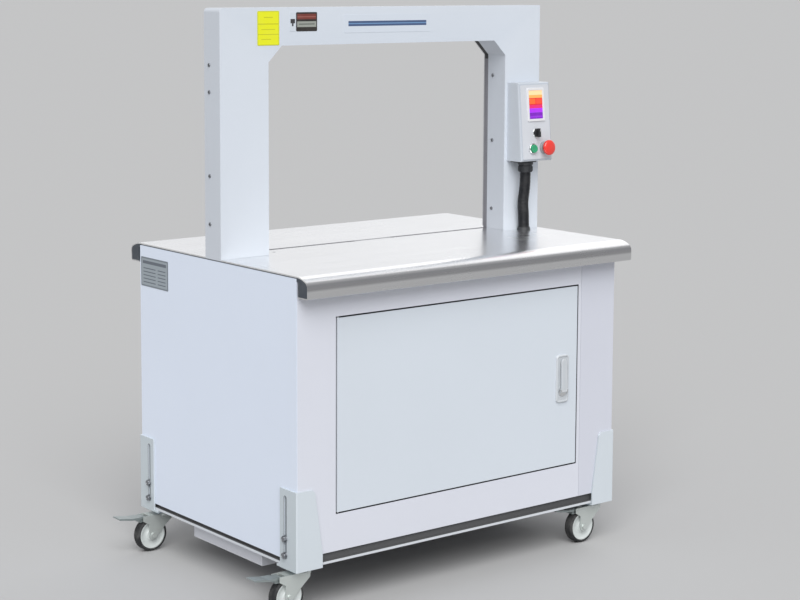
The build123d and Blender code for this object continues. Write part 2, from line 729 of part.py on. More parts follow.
with BuildPart() as heater_blade:
    bar((arch_centre - 20, arch_centre + 20), (strap_y + 14, strap_y + 52), (795.5, 797.0))
    bar((arch_centre - 22, arch_centre + 22), (strap_y + 44, strap_y + 70), (776, 797.0))
save(heater_blade.part, "heater_blade")


def roller(centre_z, radius):
    """Feed roller with its stub shaft in the roller plate."""
    with BuildPart() as wheel:
        rod("Y", (feed_x, strap_y, centre_z), radius, roller_width)
        rod("Y", (feed_x, strap_y + 12, centre_z), 5.0, 12)
    return wheel.part


save(roller(feed_z, feed_radius), "feed_roller")
save(roller(pinch_z, pinch_radius), "pinch_roller")

# Electrical box on the left panel, and the strap pool box on the floor
electrical_depth = 180.0
wall_x = sheet - half_width
with BuildPart() as electrical_box:
    bar((wall_x, wall_x + electrical_depth), (60, 320), (250, 600))
    bar((wall_x + 2, wall_x + electrical_depth - 2), (62, 318), (252, 598), Mode.SUBTRACT)
save(electrical_box.part, "electrical_box")

pool_x = (-250.0, 470.0)
pool_y = (190.0, 250.0)
with BuildPart() as strap_pool_box:
    bar(pool_x, pool_y, (base_top, 560))
    bar((pool_x[0] + sheet, pool_x[1] - sheet), (pool_y[0] + sheet, pool_y[1] - sheet),
        (base_top + sheet, 560), Mode.SUBTRACT)
save(strap_pool_box.part, "strap_pool_box")

# Reel of strap on its stand, with a brake arm above
stand_y = (-60.0, -20.0)
arm_pivot = (reel_x, 618.0)
axle_end = reel_back - reel_width
with BuildPart() as reel_stand:
    bar((reel_x - 120, reel_x + 120), (stand_y[0] - 25, stand_y[1] + 60), (base_top, base_top + 6))
    bar((reel_x - 25, reel_x + 25), stand_y, (base_top, arm_pivot[1] + 20))
    rod("Y", (reel_x, (axle_end + stand_y[0]) / 2, reel_height), reel_bore - running - 0.2,
        stand_y[0] - axle_end)
    rod("Y", (reel_x, stand_y[0] - 14, arm_pivot[1]), 6.0, 28)
save(reel_stand.part, "reel_stand")

reel_middle = (reel_x, reel_back - reel_width / 2, reel_height)
with BuildPart() as reel_body:
    rod("Y", reel_middle, reel_core, reel_width)
    for flange_y in (reel_back - 2, reel_back - reel_width + 2):
        rod("Y", (reel_x, flange_y, reel_height), reel_radius, 4)
    rod("Y", reel_middle, reel_core - 4, reel_width - 12, Mode.SUBTRACT)
    rod("Y", reel_middle, reel_bore + 8, reel_width - 10)
    rod("Y", reel_middle, reel_bore, 2 * reel_width, Mode.SUBTRACT)
with BuildPart() as strap_coil:
    rod("Y", reel_middle, reel_radius - 25, reel_width - 8)
    rod("Y", reel_middle, reel_core, reel_width, Mode.SUBTRACT)
save(pieces(reel_body.part, strap_coil.part), "strap_reel")

arm_length = 150.0
with BuildPart() as brake_arm:
    bar((reel_x, reel_x + arm_length), (stand_y[0] - 16, stand_y[0] - 6),
        (arm_pivot[1] - 9, arm_pivot[1] + 9))
    rod("Y", (reel_x, stand_y[0] - 11, arm_pivot[1]), 14.0, 10)
    rod("Y", (reel_x + arm_length, stand_y[0] - 16, arm_pivot[1]), 14.0, 24)
    rod("Y", (reel_x, stand_y[0] - 11, arm_pivot[1]), 6.0 + running, 30, Mode.SUBTRACT)
save(brake_arm.part, "brake_arm")

# Corners: slotted leg, bolts, swivelling fork, wheel and brake pedal
outside_x = half_width + slide
outside_y = half_depth + slide
swivel_x = half_width - swivel_inset_x
swivel_y = half_depth - swivel_inset_y
slot_y = half_depth - leg_slot_inset
slot_middle = (leg_slot_low + leg_slot_high) / 2
with BuildPart() as leg_bracket:
    bar((outside_x, outside_x + leg_plate), (outside_y + leg_plate - leg_side_width, outside_y + leg_plate),
        (leg_bottom, leg_top))
    with BuildSketch(Plane.XZ.offset(-outside_y)):
        with BuildLine():
            edge = outside_x + leg_plate
            Polyline((edge, leg_bottom), (edge - 76, leg_bottom), (edge - 76, leg_bottom + 32),
                     (edge - 54, leg_top - 8), (edge - 46, leg_top), (edge, leg_top), close=True)
        make_face()
    extrude(amount=-leg_plate)
    bar((outside_x - 72, outside_x + leg_plate), (outside_y - 76, outside_y + leg_plate),
        (leg_bottom, leg_bottom + base_bottom - leg_bottom - slide))
    with BuildSketch(Plane.YZ.offset(outside_x)):
        with Locations((slot_y, slot_middle)):
            SlotOverall(leg_slot_high - leg_slot_low, 2 * bolt_radius + 1, rotation=90)
    extrude(amount=leg_plate, mode=Mode.SUBTRACT)
    outer_corner = leg_bracket.edges().filter_by(Axis.Z).filter_by(lambda e: e.length > 150)
    fillet(outer_corner.sort_by(Axis.X)[-2:].sort_by(Axis.Y)[-1], 3)

plate_low = leg_bottom - plate_thickness
with BuildPart() as caster_plate:
    bar((swivel_x - 32, swivel_x + 32), (swivel_y - 30, swivel_y + 30), (plate_low, leg_bottom))
    rod("Z", (swivel_x, swivel_y, plate_low - 2), 22.0, 4)
    rod("Z", (swivel_x, swivel_y, plate_low), king_pin + running, 40, Mode.SUBTRACT)

with BuildPart() as corner_bolts:
    for bolt_z in leg_bolt_heights:
        washer = outside_x + leg_plate + slide
        rod("X", (half_width + 6, slot_y, bolt_z), bolt_radius, 12)
        rod("X", (washer + 0.8, slot_y, bolt_z), 2.1 * bolt_radius, 1.6)
        with BuildSketch(Plane.YZ.offset(washer + 1.6)):
            with Locations((slot_y, bolt_z)):
                RegularPolygon(1.85 * bolt_radius, 6)
        extrude(amount=5.5)

crown_top = 97.0
crown_low = 92.0
fork_gap = wheel_width / 2 + 1.2
fork_sheet = 2.5
fork_out = fork_gap + fork_sheet
pedal_pivot = (60.0, 92.0)
with BuildPart() as fork_steel:
    bar((-22, 50), (-fork_out, fork_out), (crown_low, crown_top))
    rod("Z", (0, 0, crown_low + 2.5), 22.0, 5)
    for side in (-fork_out, fork_gap):
        with BuildSketch(Plane.XZ.offset(-side)):
            with BuildLine():
                Polyline((-20, crown_top), (68, crown_top), (68, crown_low - 8), (wheel_trail + 13, 74),
                         (wheel_trail + 12, wheel_radius), (wheel_trail - 12, wheel_radius),
                         (-20, crown_low - 8), close=True)
            make_face()
            with Locations((wheel_trail, wheel_radius)):
                Circle(12)
        extrude(amount=-fork_sheet)
    rod("Z", (0, 0, crown_top + 0.75), 20.0, 1.5)
    rod("Z", (0, 0, (crown_top + leg_bottom - 1) / 2), king_pin, leg_bottom - 1 - crown_top)
    rod("Y", (wheel_trail, 0, wheel_radius), axle_radius, 60, Mode.SUBTRACT)
    rod("Y", (pedal_pivot[0], 0, pedal_pivot[1]), 2.0, 60, Mode.SUBTRACT)
with BuildPart() as fork_pins:
    rod("Y", (wheel_trail, 0, wheel_radius), axle_radius, 2 * fork_out)
    for side in (-1, 1):
        rod("Y", (wheel_trail, side * (fork_out + 2), wheel_radius), 1.7 * axle_radius, 4)
    rod("Y", (pedal_pivot[0], 0, pedal_pivot[1]), 2.0, 2 * fork_out + 2)

with BuildPart() as hub:
    rod("Y", (wheel_trail, 0, wheel_radius), hub_radius, wheel_width - 2)
    fillet(hub.edges().filter_by(GeomType.CIRCLE), 2)
    rod("Y", (wheel_trail, 0, wheel_radius), axle_radius + running, 60, Mode.SUBTRACT)
with BuildPart() as tyre:
    rod("Y", (wheel_trail, 0, wheel_radius), wheel_radius, wheel_width)
    fillet(tyre.edges().filter_by(GeomType.CIRCLE), 5)
    rod("Y", (wheel_trail, 0, wheel_radius), hub_radius, 60, Mode.SUBTRACT)

pedal_half = 17.0
with BuildPart() as caster_pedal:
    with BuildSketch(Plane.XZ.offset(-13.0)):
        with BuildLine():
            Polyline((57, 94), (62, 96.5), (100, 97.5), (138, 103.5), (139.5, 101.5), (138, 99.5),
                     (101, 93), (66, 90), (58, 90), close=True)
        make_face()
    extrude(amount=26)
    for side in (-pedal_half, 12.5):
        with BuildSketch(Plane.XZ.offset(-side)):
            with BuildLine():
                Polyline((76, 96.8), (100, 97.5), (138, 103.5), (139.5, 101.5), (138, 99.5),
                         (101, 93), (76, 91), close=True)
            make_face()
        extrude(amount=-(pedal_half - 12.5))
    rod("Y", (pedal_pivot[0], 0, pedal_pivot[1]), 4.5, 26)
    bar((66, 76), (-11, 11), (82, 93))
    rod("Y", (pedal_pivot[0], 0, pedal_pivot[1]), 2.0 + running, 60, Mode.SUBTRACT)

bolt_groups = []
for corner_name, side_x, side_y, trail_side in (("front_left", -1, -1, -1), ("front_right", 1, -1, -1),
                                                ("rear_left", -1, 1, -1), ("rear_right", 1, 1, 1)):
    leg = pieces(leg_bracket.part, caster_plate.part)
    bolts = corner_bolts.part
    if side_x < 0:
        leg = mirror(leg, about=Plane.YZ)
        bolts = mirror(bolts, about=Plane.YZ)
    if side_y < 0:
        leg = mirror(leg, about=Plane.XZ)
        bolts = mirror(bolts, about=Plane.XZ)
    save(leg, f"leg_{corner_name}")
    bolt_groups.append(bolts)
    swivel = Location((side_x * swivel_x, side_y * swivel_y, 0), (0, 0, 0 if trail_side > 0 else 180))
    save(pieces(fork_steel.part, fork_pins.part).moved(swivel), f"fork_{corner_name}")
    save(pieces(hub.part, tyre.part).moved(swivel), f"wheel_{corner_name}")
    save(pieces(caster_pedal.part).moved(swivel), f"pedal_{corner_name}")
save(pieces(*bolt_groups), "leg_bolts")
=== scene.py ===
from math import cos, pi, radians, sin, tau

import bmesh
import bpy
from mathutils import Matrix, Vector


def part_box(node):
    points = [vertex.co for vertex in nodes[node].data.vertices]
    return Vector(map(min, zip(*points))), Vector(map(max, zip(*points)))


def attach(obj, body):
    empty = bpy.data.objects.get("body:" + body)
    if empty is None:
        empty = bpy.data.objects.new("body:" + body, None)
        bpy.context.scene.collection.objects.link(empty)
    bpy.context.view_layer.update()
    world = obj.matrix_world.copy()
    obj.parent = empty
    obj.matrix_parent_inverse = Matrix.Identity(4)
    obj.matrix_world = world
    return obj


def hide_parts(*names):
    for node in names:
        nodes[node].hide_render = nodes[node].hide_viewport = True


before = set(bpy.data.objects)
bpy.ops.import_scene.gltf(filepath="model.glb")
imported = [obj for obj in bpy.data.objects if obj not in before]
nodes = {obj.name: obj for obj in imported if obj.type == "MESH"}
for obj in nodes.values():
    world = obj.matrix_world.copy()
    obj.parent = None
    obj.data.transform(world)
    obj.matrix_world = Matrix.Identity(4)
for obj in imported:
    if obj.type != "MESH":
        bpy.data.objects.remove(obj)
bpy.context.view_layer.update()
print("frame loaded:", len(nodes), "CAD nodes")

# Camera and light: places in metres, lens in millimetres, lamps in watts per square metre
cameraSetup = {
    "place": (-2.9493, -3.7346, 1.4717),
    "azimuth": radians(-36.49),
    "elevation": radians(6.53),
    "lens": 83.04,
    "shift": (0.0987, -0.1308),
}
studio = {
    "world": (0.535, 0.54, 0.552),      # even surround
    "glow": 0.62,                       # extra light low down beyond the machine, for the table's sheen
    "glowWay": (0.59, 0.8, 0.0),
    "sunFrom": (-0.55, -0.75, 0.9),
    "sunPower": 2.7,
    "sunSpread": radians(48),
    "fillFrom": (0.9, 0.5, 0.7),
    "fillPower": 0.35,
    "floor": (0.456, 0.456, 0.456),
    "floorReach": 400.0,
}


def link(tree, source, target):
    tree.links.new(source, target)


def feed(tree, node, values):
    # a number, a colour or another node's output into each named socket
    for label, value in values.items():
        if isinstance(value, (int, float)):
            node.inputs[label].default_value = value
        elif isinstance(value, tuple):
            node.inputs[label].default_value = (*value, 1.0)
        else:
            link(tree, value, node.inputs[label])


def objectPlace(tree):
    return tree.nodes.new("ShaderNodeTexCoord").outputs["Object"]


def axisOf(tree, vector, axis):
    parts = tree.nodes.new("ShaderNodeSeparateXYZ")
    link(tree, vector, parts.inputs[0])
    return parts.outputs[axis]


def placeAlong(tree, axis="Z"):
    return axisOf(tree, objectPlace(tree), axis)


def noise(tree, vector, scale, detail=3.0, roughness=0.5):
    node = tree.nodes.new("ShaderNodeTexNoise")
    feed(tree, node, {"Vector": vector, "Scale": scale, "Detail": detail, "Roughness": roughness})
    return node.outputs["Fac"]


def maths(tree, operation, first, second=0.5, clamp=False):
    node = tree.nodes.new("ShaderNodeMath")
    node.operation = operation
    node.use_clamp = clamp
    feed(tree, node, {0: first, 1: second})
    return node.outputs[0]


def vectorMaths(tree, operation, first, second=None):
    # second is three numbers, or the strength for SCALE
    node = tree.nodes.new("ShaderNodeVectorMath")
    node.operation = operation
    link(tree, first, node.inputs[0])
    if operation == "SCALE":
        link(tree, second, node.inputs["Scale"])
    elif second:
        node.inputs[1].default_value = second
    return node.outputs["Value" if operation in ("LENGTH", "DOT_PRODUCT") else "Vector"]


def span(tree, value, low, high, outLow=0.0, outHigh=1.0):
    node = tree.nodes.new("ShaderNodeMapRange")
    feed(tree, node, {"Value": value, "From Min": low, "From Max": high, "To Min": outLow, "To Max": outHigh})
    return node.outputs["Result"]


def blendColour(tree, factor, first, second):
    node = tree.nodes.new("ShaderNodeMix")
    node.data_type = "RGBA"
    feed(tree, node, {0: factor, 6: first, 7: second})
    return node.outputs[2]


def scaled(tree, vector, factors):
    node = tree.nodes.new("ShaderNodeMapping")
    node.inputs["Scale"].default_value = factors
    link(tree, vector, node.inputs["Vector"])
    return node.outputs["Vector"]


def newGroup(name, numbers):
    # node group with a colour and named numbers going in; gives the group and its starting sockets
    group = bpy.data.node_groups.new(name, "ShaderNodeTree")
    group.interface.new_socket(name="Colour", in_out="INPUT", socket_type="NodeSocketColor")
    for label, number in numbers.items():
        socket = group.interface.new_socket(name=label, in_out="INPUT", socket_type="NodeSocketFloat")
        socket.default_value = number
    for label, kind in (("Colour", "Color"), ("Roughness", "Float"), ("Height", "Float")):
        group.interface.new_socket(name=label, in_out="OUTPUT", socket_type=f"NodeSocket{kind}")
    return group, group.nodes.new("NodeGroupInput").outputs


def closeGroup(group, colour, roughness, height):
    end = group.nodes.new("NodeGroupOutput")
    feed(group, end, {"Colour": colour, "Roughness": roughness, "Height": height})
    return group


def makeCoatGroup():
    # powder coat: orange peel, slow tone drift, and pointy edges blended towards white as rubbed wear with a
    # painted edge highlight
    group, start = newGroup("coatEffect", {"Peel Scale": 900.0, "Drift": 0.04, "Edge Highlight And Wear": 0.1,
                                           "Base Roughness": 0.38})
    place = objectPlace(group)
    slow = noise(group, place, 3.2, 4.0)
    cloud = noise(group, place, 17.0, 5.0, 0.6)
    peel = noise(group, place, start["Peel Scale"], 2.0)
    drift = maths(group, "MULTIPLY", maths(group, "SUBTRACT", slow, 0.5), start["Drift"])
    tone = vectorMaths(group, "SCALE", start["Colour"], maths(group, "ADD", drift, 1.0))
    edge = group.nodes.new("ShaderNodeNewGeometry").outputs["Pointiness"]
    # painted highlight with wear: pointy edges lightened towards white
    highlightAndWear = maths(group, "MULTIPLY", span(group, edge, 0.52, 0.6), start["Edge Highlight And Wear"])
    grime = span(group, cloud, 0.35, 0.7, -0.05, 0.06)
    rough = maths(group, "ADD", start["Base Roughness"], grime)
    return closeGroup(group, blendColour(group, highlightAndWear, tone, (1, 1, 1)), rough, peel)


def makeSteelGroup():
    # brushed sheet: long fine scratches along one axis with rubbed, hazy patches
    group, start = newGroup("steelEffect", {"Streak Scale": 260.0, "Streak Depth": 0.06,
                                            "Base Roughness": 0.2})
    place = objectPlace(group)
    streaks = noise(group, scaled(group, place, (0.035, 1.0, 1.0)), start["Streak Scale"], 4.0, 0.65)
    wide = noise(group, scaled(group, place, (0.35, 2.2, 2.2)), 7.0, 3.0)
    haze = noise(group, place, 5.5, 4.0, 0.55)
    depth = maths(group, "MULTIPLY", maths(group, "SUBTRACT", streaks, 0.5), start["Streak Depth"])
    tint = maths(group, "ADD", 1.0, maths(group, "MULTIPLY", maths(group, "SUBTRACT", wide, 0.5), 0.1))
    tone = vectorMaths(group, "SCALE", start["Colour"], maths(group, "ADD", tint, depth))
    rough = maths(group, "ADD", start["Base Roughness"], maths(group, "MULTIPLY", depth, 1.2))
    rough = maths(group, "ADD", rough, span(group, haze, 0.35, 0.7, -0.02, 0.05), clamp=True)
    return closeGroup(group, tone, rough, streaks)


def makeGrainGroup():
    # moulded plastic and rubber: spark grain, and dust in random patches
    group, start = newGroup("grainEffect", {"Grain Scale": 1500.0, "Dust": 0.08, "Base Roughness": 0.5})
    place = objectPlace(group)
    grain = noise(group, place, start["Grain Scale"], 2.0)
    patch = noise(group, place, 28.0, 5.0, 0.6)
    dust = maths(group, "MULTIPLY", span(group, patch, 0.45, 0.75), start["Dust"])
    rough = maths(group, "ADD", start["Base Roughness"], maths(group, "MULTIPLY", dust, 1.5), clamp=True)
    return closeGroup(group, blendColour(group, dust, start["Colour"], (0.55, 0.54, 0.52)), rough, grain)


effects = {"coat": makeCoatGroup(), "steel": makeSteelGroup(), "grain": makeGrainGroup()}


def startMaterial(name):
    material = bpy.data.materials.new(name)
    material.use_nodes = True
    tree = material.node_tree
    return material, tree, tree.nodes["Principled BSDF"]


def effectMaterial(name, effect, colour, values, metallic=0.0, bump=0.1, bumpDistance=0.0002, coat=0.0,
                   coatRoughness=0.1, specular=0.5, glow=0.0):
    # one surface fed by a shared effect; colour is three numbers or a function that builds the colour's
    # nodes, and values sets the group's own sockets
    material, tree, shader = startMaterial(name)
    group = tree.nodes.new("ShaderNodeGroup")
    group.node_tree = effects[effect]
    feed(tree, group, {"Colour": colour(tree) if callable(colour) else colour, **values})
    relief = tree.nodes.new("ShaderNodeBump")
    feed(tree, relief, {"Strength": bump, "Distance": bumpDistance, "Height": group.outputs["Height"]})
    feed(tree, shader, {
        "Base Color": group.outputs["Colour"], "Roughness": group.outputs["Roughness"],
        "Normal": relief.outputs["Normal"], "Metallic": metallic, "Coat Weight": coat,
        "Coat Roughness": coatRoughness, "Specular IOR Level": specular})
    if glow:
        feed(tree, shader, {"Emission Strength": glow, "Emission Color": group.outputs["Colour"]})
    return material


def lipAndRecessShade(tree):
    # pale lip, and above it the web in the recess painted near black as painted shade
    recessShadeMask = span(tree, placeAlong(tree), 0.1188, 0.1192)
    return blendColour(tree, recessShadeMask, (0.58, 0.61, 0.65), (0.012, 0.014, 0.018))


def rollWithPaintedReflections(tree):
    # flat sheet above; where the edge turns over, a painted dark reflection band with a paler painted
    # reflection below it
    height = placeAlong(tree)
    darkReflectionBand = blendColour(tree, span(tree, height, 0.7745, 0.78), (0.66, 0.66, 0.665), (0.4, 0.4, 0.41))
    return blendColour(tree, span(tree, height, 0.79, 0.801), darkReflectionBand, (0.9, 0.9, 0.905))


def legColoursWithSideShade(tree):
    # painted shade: outer side faces darker and greyer than the front and rear ones
    normal = tree.nodes.new("ShaderNodeTexCoord").outputs["Normal"]
    shadedSide = span(tree, maths(tree, "ABSOLUTE", axisOf(tree, normal, "X")), 0.8, 0.95)
    return blendColour(tree, shadedSide, (0.506, 0.571, 0.626), (0.4, 0.469, 0.512))


def trackColours(tree):
    # black corner guides at the top, grey rail below
    top = span(tree, placeAlong(tree), 1.27, 1.271)
    return blendColour(tree, top, (0.17, 0.17, 0.19), (0.015, 0.016, 0.019))


def sideColours(tree):
    # the right column stands in the box's shade
    right = span(tree, placeAlong(tree, "X"), 0.3, 0.34)
    return blendColour(tree, right, (0.505, 0.545, 0.605), (0.425, 0.46, 0.515))


def strapColours(tree):
    # wound strap: fine turns round the reel's axle
    low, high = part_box("strap_reel")
    centre = (low + high) / 2
    place = scaled(tree, objectPlace(tree), (1, 0, 1))
    reach = vectorMaths(tree, "LENGTH", vectorMaths(tree, "SUBTRACT", place, (centre.x, 0, centre.z)))
    turns = maths(tree, "SINE", maths(tree, "MULTIPLY", reach, 5200.0))
    return blendColour(tree, span(tree, turns, -1, 1), (0.03, 0.05, 0.11), (0.11, 0.17, 0.3))


def printed(base, patches):
    # print on a plate: plain patches of ink between limits along the plate's own X and Y
    def within(tree, value, limits):
        soft = 0.00015
        rise = span(tree, value, limits[0] - soft, limits[0] + soft)
        fall = span(tree, value, limits[1] - soft, limits[1] + soft, 1.0, 0.0)
        return maths(tree, "MULTIPLY", rise, fall)

    def colours(tree):
        colour = base
        for across, up, ink in patches:
            cover = maths(tree, "MULTIPLY", within(tree, placeAlong(tree, "X"), across),
                          within(tree, placeAlong(tree, "Y"), up))
            colour = blendColour(tree, cover, colour, ink)
        return colour
    return colours


yellowInk, greyInk, blackInk = (0.56, 0.56, 0.01), (0.13, 0.15, 0.18), (0.04, 0.04, 0.045)
labelWide, badgeWide, tileWide = (-0.03, 0.03), (-0.127, 0.127), (-0.0243, 0.0243)
prints = {
    "yellow": printed((0.6, 0.62, 0.012), [
        (labelWide, (-0.0395, 0.0395), (0.78, 0.8, 0.008)),
        (labelWide, (0.009, 0.0115), yellowInk),
        (labelWide, (-0.016, -0.014), yellowInk),
        ((-0.013, 0.013), (0.025, 0.0275), yellowInk),
        ((-0.021, 0.02), (-0.004, -0.002), yellowInk),
        ((-0.021, 0.008), (-0.028, -0.026), yellowInk)]),
    "icon": printed((0.6, 0.65, 0.71), [
        ((-0.0068, 0.0068), (-0.0036, 0.0072), blackInk),
        ((-0.0024, 0.0024), (-0.0105, -0.0036), blackInk)]),
    "dark": printed((0.02, 0.016, 0.014), [
        ((-0.029, 0.029), (0.006, 0.0195), (0.17, 0.035, 0.025)),
        ((-0.028, 0.028), (0.011, 0.0135), (0.3, 0.1, 0.08)),
        ((-0.029, 0.029), (-0.013, 0.001), (0.3, 0.32, 0.29)),
        ((-0.024, 0.024), (-0.007, -0.0045), (0.1, 0.11, 0.1))]),
    "selector": printed((0.7, 0.7, 0.71), [((-0.03, 0.0022), (-0.06, 0.01), (0.012, 0.012, 0.014))]),
    "badge": printed((0.62, 0.67, 0.74), [
        (badgeWide, (-0.0065, 0.0065), (0.055, 0.095, 0.2)),
        (badgeWide, (-0.0012, 0.0012), (0.16, 0.3, 0.52))]),
    "rating": printed((0.2, 0.23, 0.26), [
        ((-0.0615, 0.0615), (-0.034, 0.034), (0.33, 0.375, 0.41)),
        ((-0.057, 0.057), (0.021, 0.029), greyInk),
        *((across, (low, low + 0.0026), greyInk) for across in ((-0.054, 0.006), (0.016, 0.054))
          for low in (-0.028, -0.019, -0.01, -0.001, 0.008))]),
    "screen": printed((0.9, 0.55, 0.25), [
        (tileWide, (0.026, 0.0384), (1.0, 0.66, 0.34)),
        (tileWide, (0.018, 0.026), (1.0, 0.4, 0.1)),
        (tileWide, (-0.001, 0.018), (0.66, 0.01, 0.02)),
        ((-0.0225, -0.001), (0.002, 0.016), (0.95, 0.13, 0.02)),
        ((0.001, 0.0225), (0.002, 0.016), (0.93, 0.07, 0.03)),
        (tileWide, (-0.01, -0.001), (0.72, 0.01, 0.16)),
        (tileWide, (-0.021, -0.01), (0.4, 0.02, 0.95)),
        (tileWide, (-0.0384, -0.021), (0.17, 0.004, 0.44)),
        ((-0.0225, 0.0225), (-0.035, -0.03), (0.26, 0.02, 0.62))]),
}


def paint(name, colour, values, **options):
    return effectMaterial(name, "coat", colour, values, **options)


def coated(name, colour, drift=0.05, edgeHighlightAndWear=0.1):
    # paint with fine orange peel under a thin clear layer
    values = {"Peel Scale": 700.0, "Drift": drift, "Edge Highlight And Wear": edgeHighlightAndWear}
    return paint(name, colour, values, bump=0.12, coat=0.1, coatRoughness=0.3)


def steel(name, colour, roughness, streaks=260.0, metallic=1.0, **options):
    values = {"Streak Scale": streaks, "Base Roughness": roughness}
    return effectMaterial(name, "steel", colour, values, metallic, **options)


def plastic(name, colour, dust, roughness=0.5, **options):
    return effectMaterial(name, "grain", colour, {"Dust": dust, "Base Roughness": roughness}, **options)


materials = {
    "panel": coated("panelCoat", (0.67, 0.74, 0.865)),
    "door": coated("doorCoat", (0.59, 0.645, 0.71)),
    "front": coated("frontCoat", (0.63, 0.65, 0.725)),
    "post": coated("postCoat", (0.565, 0.585, 0.665)),
    "cover": coated("archCoverCoat", (0.6, 0.65, 0.72)),
    "archSide": coated("archSideCoat", sideColours),
    # painted shade: the control box coat is darker, like the shaded right column it hangs on
    "box": coated("boxShadedCoat", (0.44, 0.48, 0.535)),
    "leg": coated("legCoat", legColoursWithSideShade, drift=0.07, edgeHighlightAndWear=0.2),
    "trayPaint": coated("trayPaint", (0.62, 0.635, 0.69)),
    "lockPaint": coated("lockPaint", (0.53, 0.56, 0.59), edgeHighlightAndWear=0.25),
    # painted shade: near black web above the pale lip
    "lip": paint("lipCoat", lipAndRecessShade, {"Peel Scale": 600.0}, specular=0.08),
    # dark paint inside the machine; on the table frame it is painted shade for the dark gap line under the
    # table
    "inside": paint("insidePaintAndGapShade", (0.09, 0.1, 0.115), {"Base Roughness": 0.5}),
    "motor": paint("motorPaint", (0.07, 0.1, 0.14), {"Base Roughness": 0.5}, bump=0.4),
    # painted reflections on the rolled front edge of both tables
    "table": steel("tableSteel", rollWithPaintedReflections, 0.24, bump=0.02, bumpDistance=0.0001),
    "toolSteel": steel("toolSteel", (0.56, 0.57, 0.59), 0.32),
    "zinc": steel("brightZinc", (0.72, 0.73, 0.74), 0.26, 420.0),
    "darkZinc": steel("darkZinc", (0.29, 0.3, 0.32), 0.38, 420.0),
    "forkZinc": steel("forkZinc", (0.6, 0.64, 0.62), 0.34, 300.0, 0.55),
    "pedalZinc": steel("pedalZinc", (0.3, 0.34, 0.34), 0.34, 300.0, 0.55),
    "ratingPrint": steel("ratingPrint", prints["rating"], 0.4, metallic=0.2, bump=0.05),
    "track": plastic("trackRail", trackColours, 0.05, bump=0.15),
    # painted shade: dark sheet for the leg slots' strips and films
    "slotShadeSheet": plastic("slotShadeSheet", (0.2, 0.22, 0.24), 0.2),
    "selectorPlastic": plastic("selectorPlastic", prints["selector"], 0.02),
    "blackPlastic": plastic("blackPlastic", (0.018, 0.02, 0.024), 0.05, bump=0.2),
    "capPlastic": plastic("capPlastic", (0.045, 0.055, 0.07), 0.08, bump=0.2),
    "rubber": plastic("tyreRubber", (0.02, 0.021, 0.023), 0.18, 0.6, bump=0.3, specular=0.35),
    "hub": plastic("hubPlastic", (0.6, 0.64, 0.63), 0.15, 0.42, bump=0.15),
    "strap": plastic("woundStrap", strapColours, 0.08, 0.35),
    "film": plastic("panelFilm", (0.6, 0.62, 0.66), 0.02, 0.42, bump=0.08),
    "redPlastic": plastic("stopRed", (0.75, 0.03, 0.018), 0.03, 0.3, bump=0.05, coat=0.4, coatRoughness=0.12),
    "greenPlastic": plastic("startGreen", (0.02, 0.33, 0.15), 0.03, 0.3, bump=0.05, coat=0.4,
                            coatRoughness=0.12),
    "hose": plastic("hosePlastic", (0.011, 0.012, 0.015), 0.05, 0.45, bump=0.15, specular=0.4),
    "reelPlastic": plastic("reelPlastic", (0.05, 0.055, 0.06), 0.03, bump=0.2),
    "collarPlastic": plastic("collarPlastic", (0.3, 0.31, 0.33), 0.05),
    "whitePlastic": plastic("whitePlastic", (0.75, 0.76, 0.78), 0.03, 0.35, bump=0.05),
    "screenFrame": plastic("screenFrame", (0.72, 0.72, 0.74), 0.03, 0.4, bump=0.08),
    "screenTiles": plastic("screenTiles", prints["screen"], 0.02, 0.18, bump=0.01, coat=0.3, glow=0.18),
    "yellowPrint": plastic("yellowPrint", prints["yellow"], 0.03, 0.4, bump=0.05),
    "iconPrint": plastic("iconPrint", prints["icon"], 0.02, 0.4, bump=0.05),
    "darkPrint": plastic("darkPrint", prints["dark"], 0.04, 0.4, bump=0.05),
    "badgePrint": plastic("badgePrint", prints["badge"], 0.02, 0.35, bump=0.05),
}
cadFinishes = {
    "panel": ["left_side_panel"],
    "door": ["front_door"],
    "front": ["front_fascia", "rear_panel"],
    "post": ["right_side_panel"],
    "cover": ["arch_front_cover"],
    "archSide": ["arch_shell"],
    "box": ["control_box"],
    "leg": ["leg_front_left", "leg_front_right", "leg_rear_left", "leg_rear_right"],
    "trayPaint": ["bottom_tray"],
    "lip": ["base_frame"],
    # the table frame is dark as painted shade for the gap line under the table
    "inside": ["table_frame", "strap_pool_box", "reel_stand", "brake_arm", "electrical_box"],
    "table": ["front_table", "rear_table"],
    "toolSteel": ["sealing_head_frame", "seal_press", "strap_gripper", "heater_blade", "track_gate"],
    "zinc": ["cam_shaft", "door_hinges", "lock_spindle"],
    "track": ["strap_track"],
    "capPlastic": ["table_end_caps"],
    "rubber": ["feed_roller", "pinch_roller"],
    "motor": ["drive_motors"],
    "film": ["control_panel"],
    "forkZinc": [name for name in nodes if name.startswith("fork_")],
    "pedalZinc": [name for name in nodes if name.startswith("pedal_")],
}
for finish, names in cadFinishes.items():
    for name in names:
        nodes[name].data.materials.clear()
        nodes[name].data.materials.append(materials[finish])
print("materials on CAD nodes")


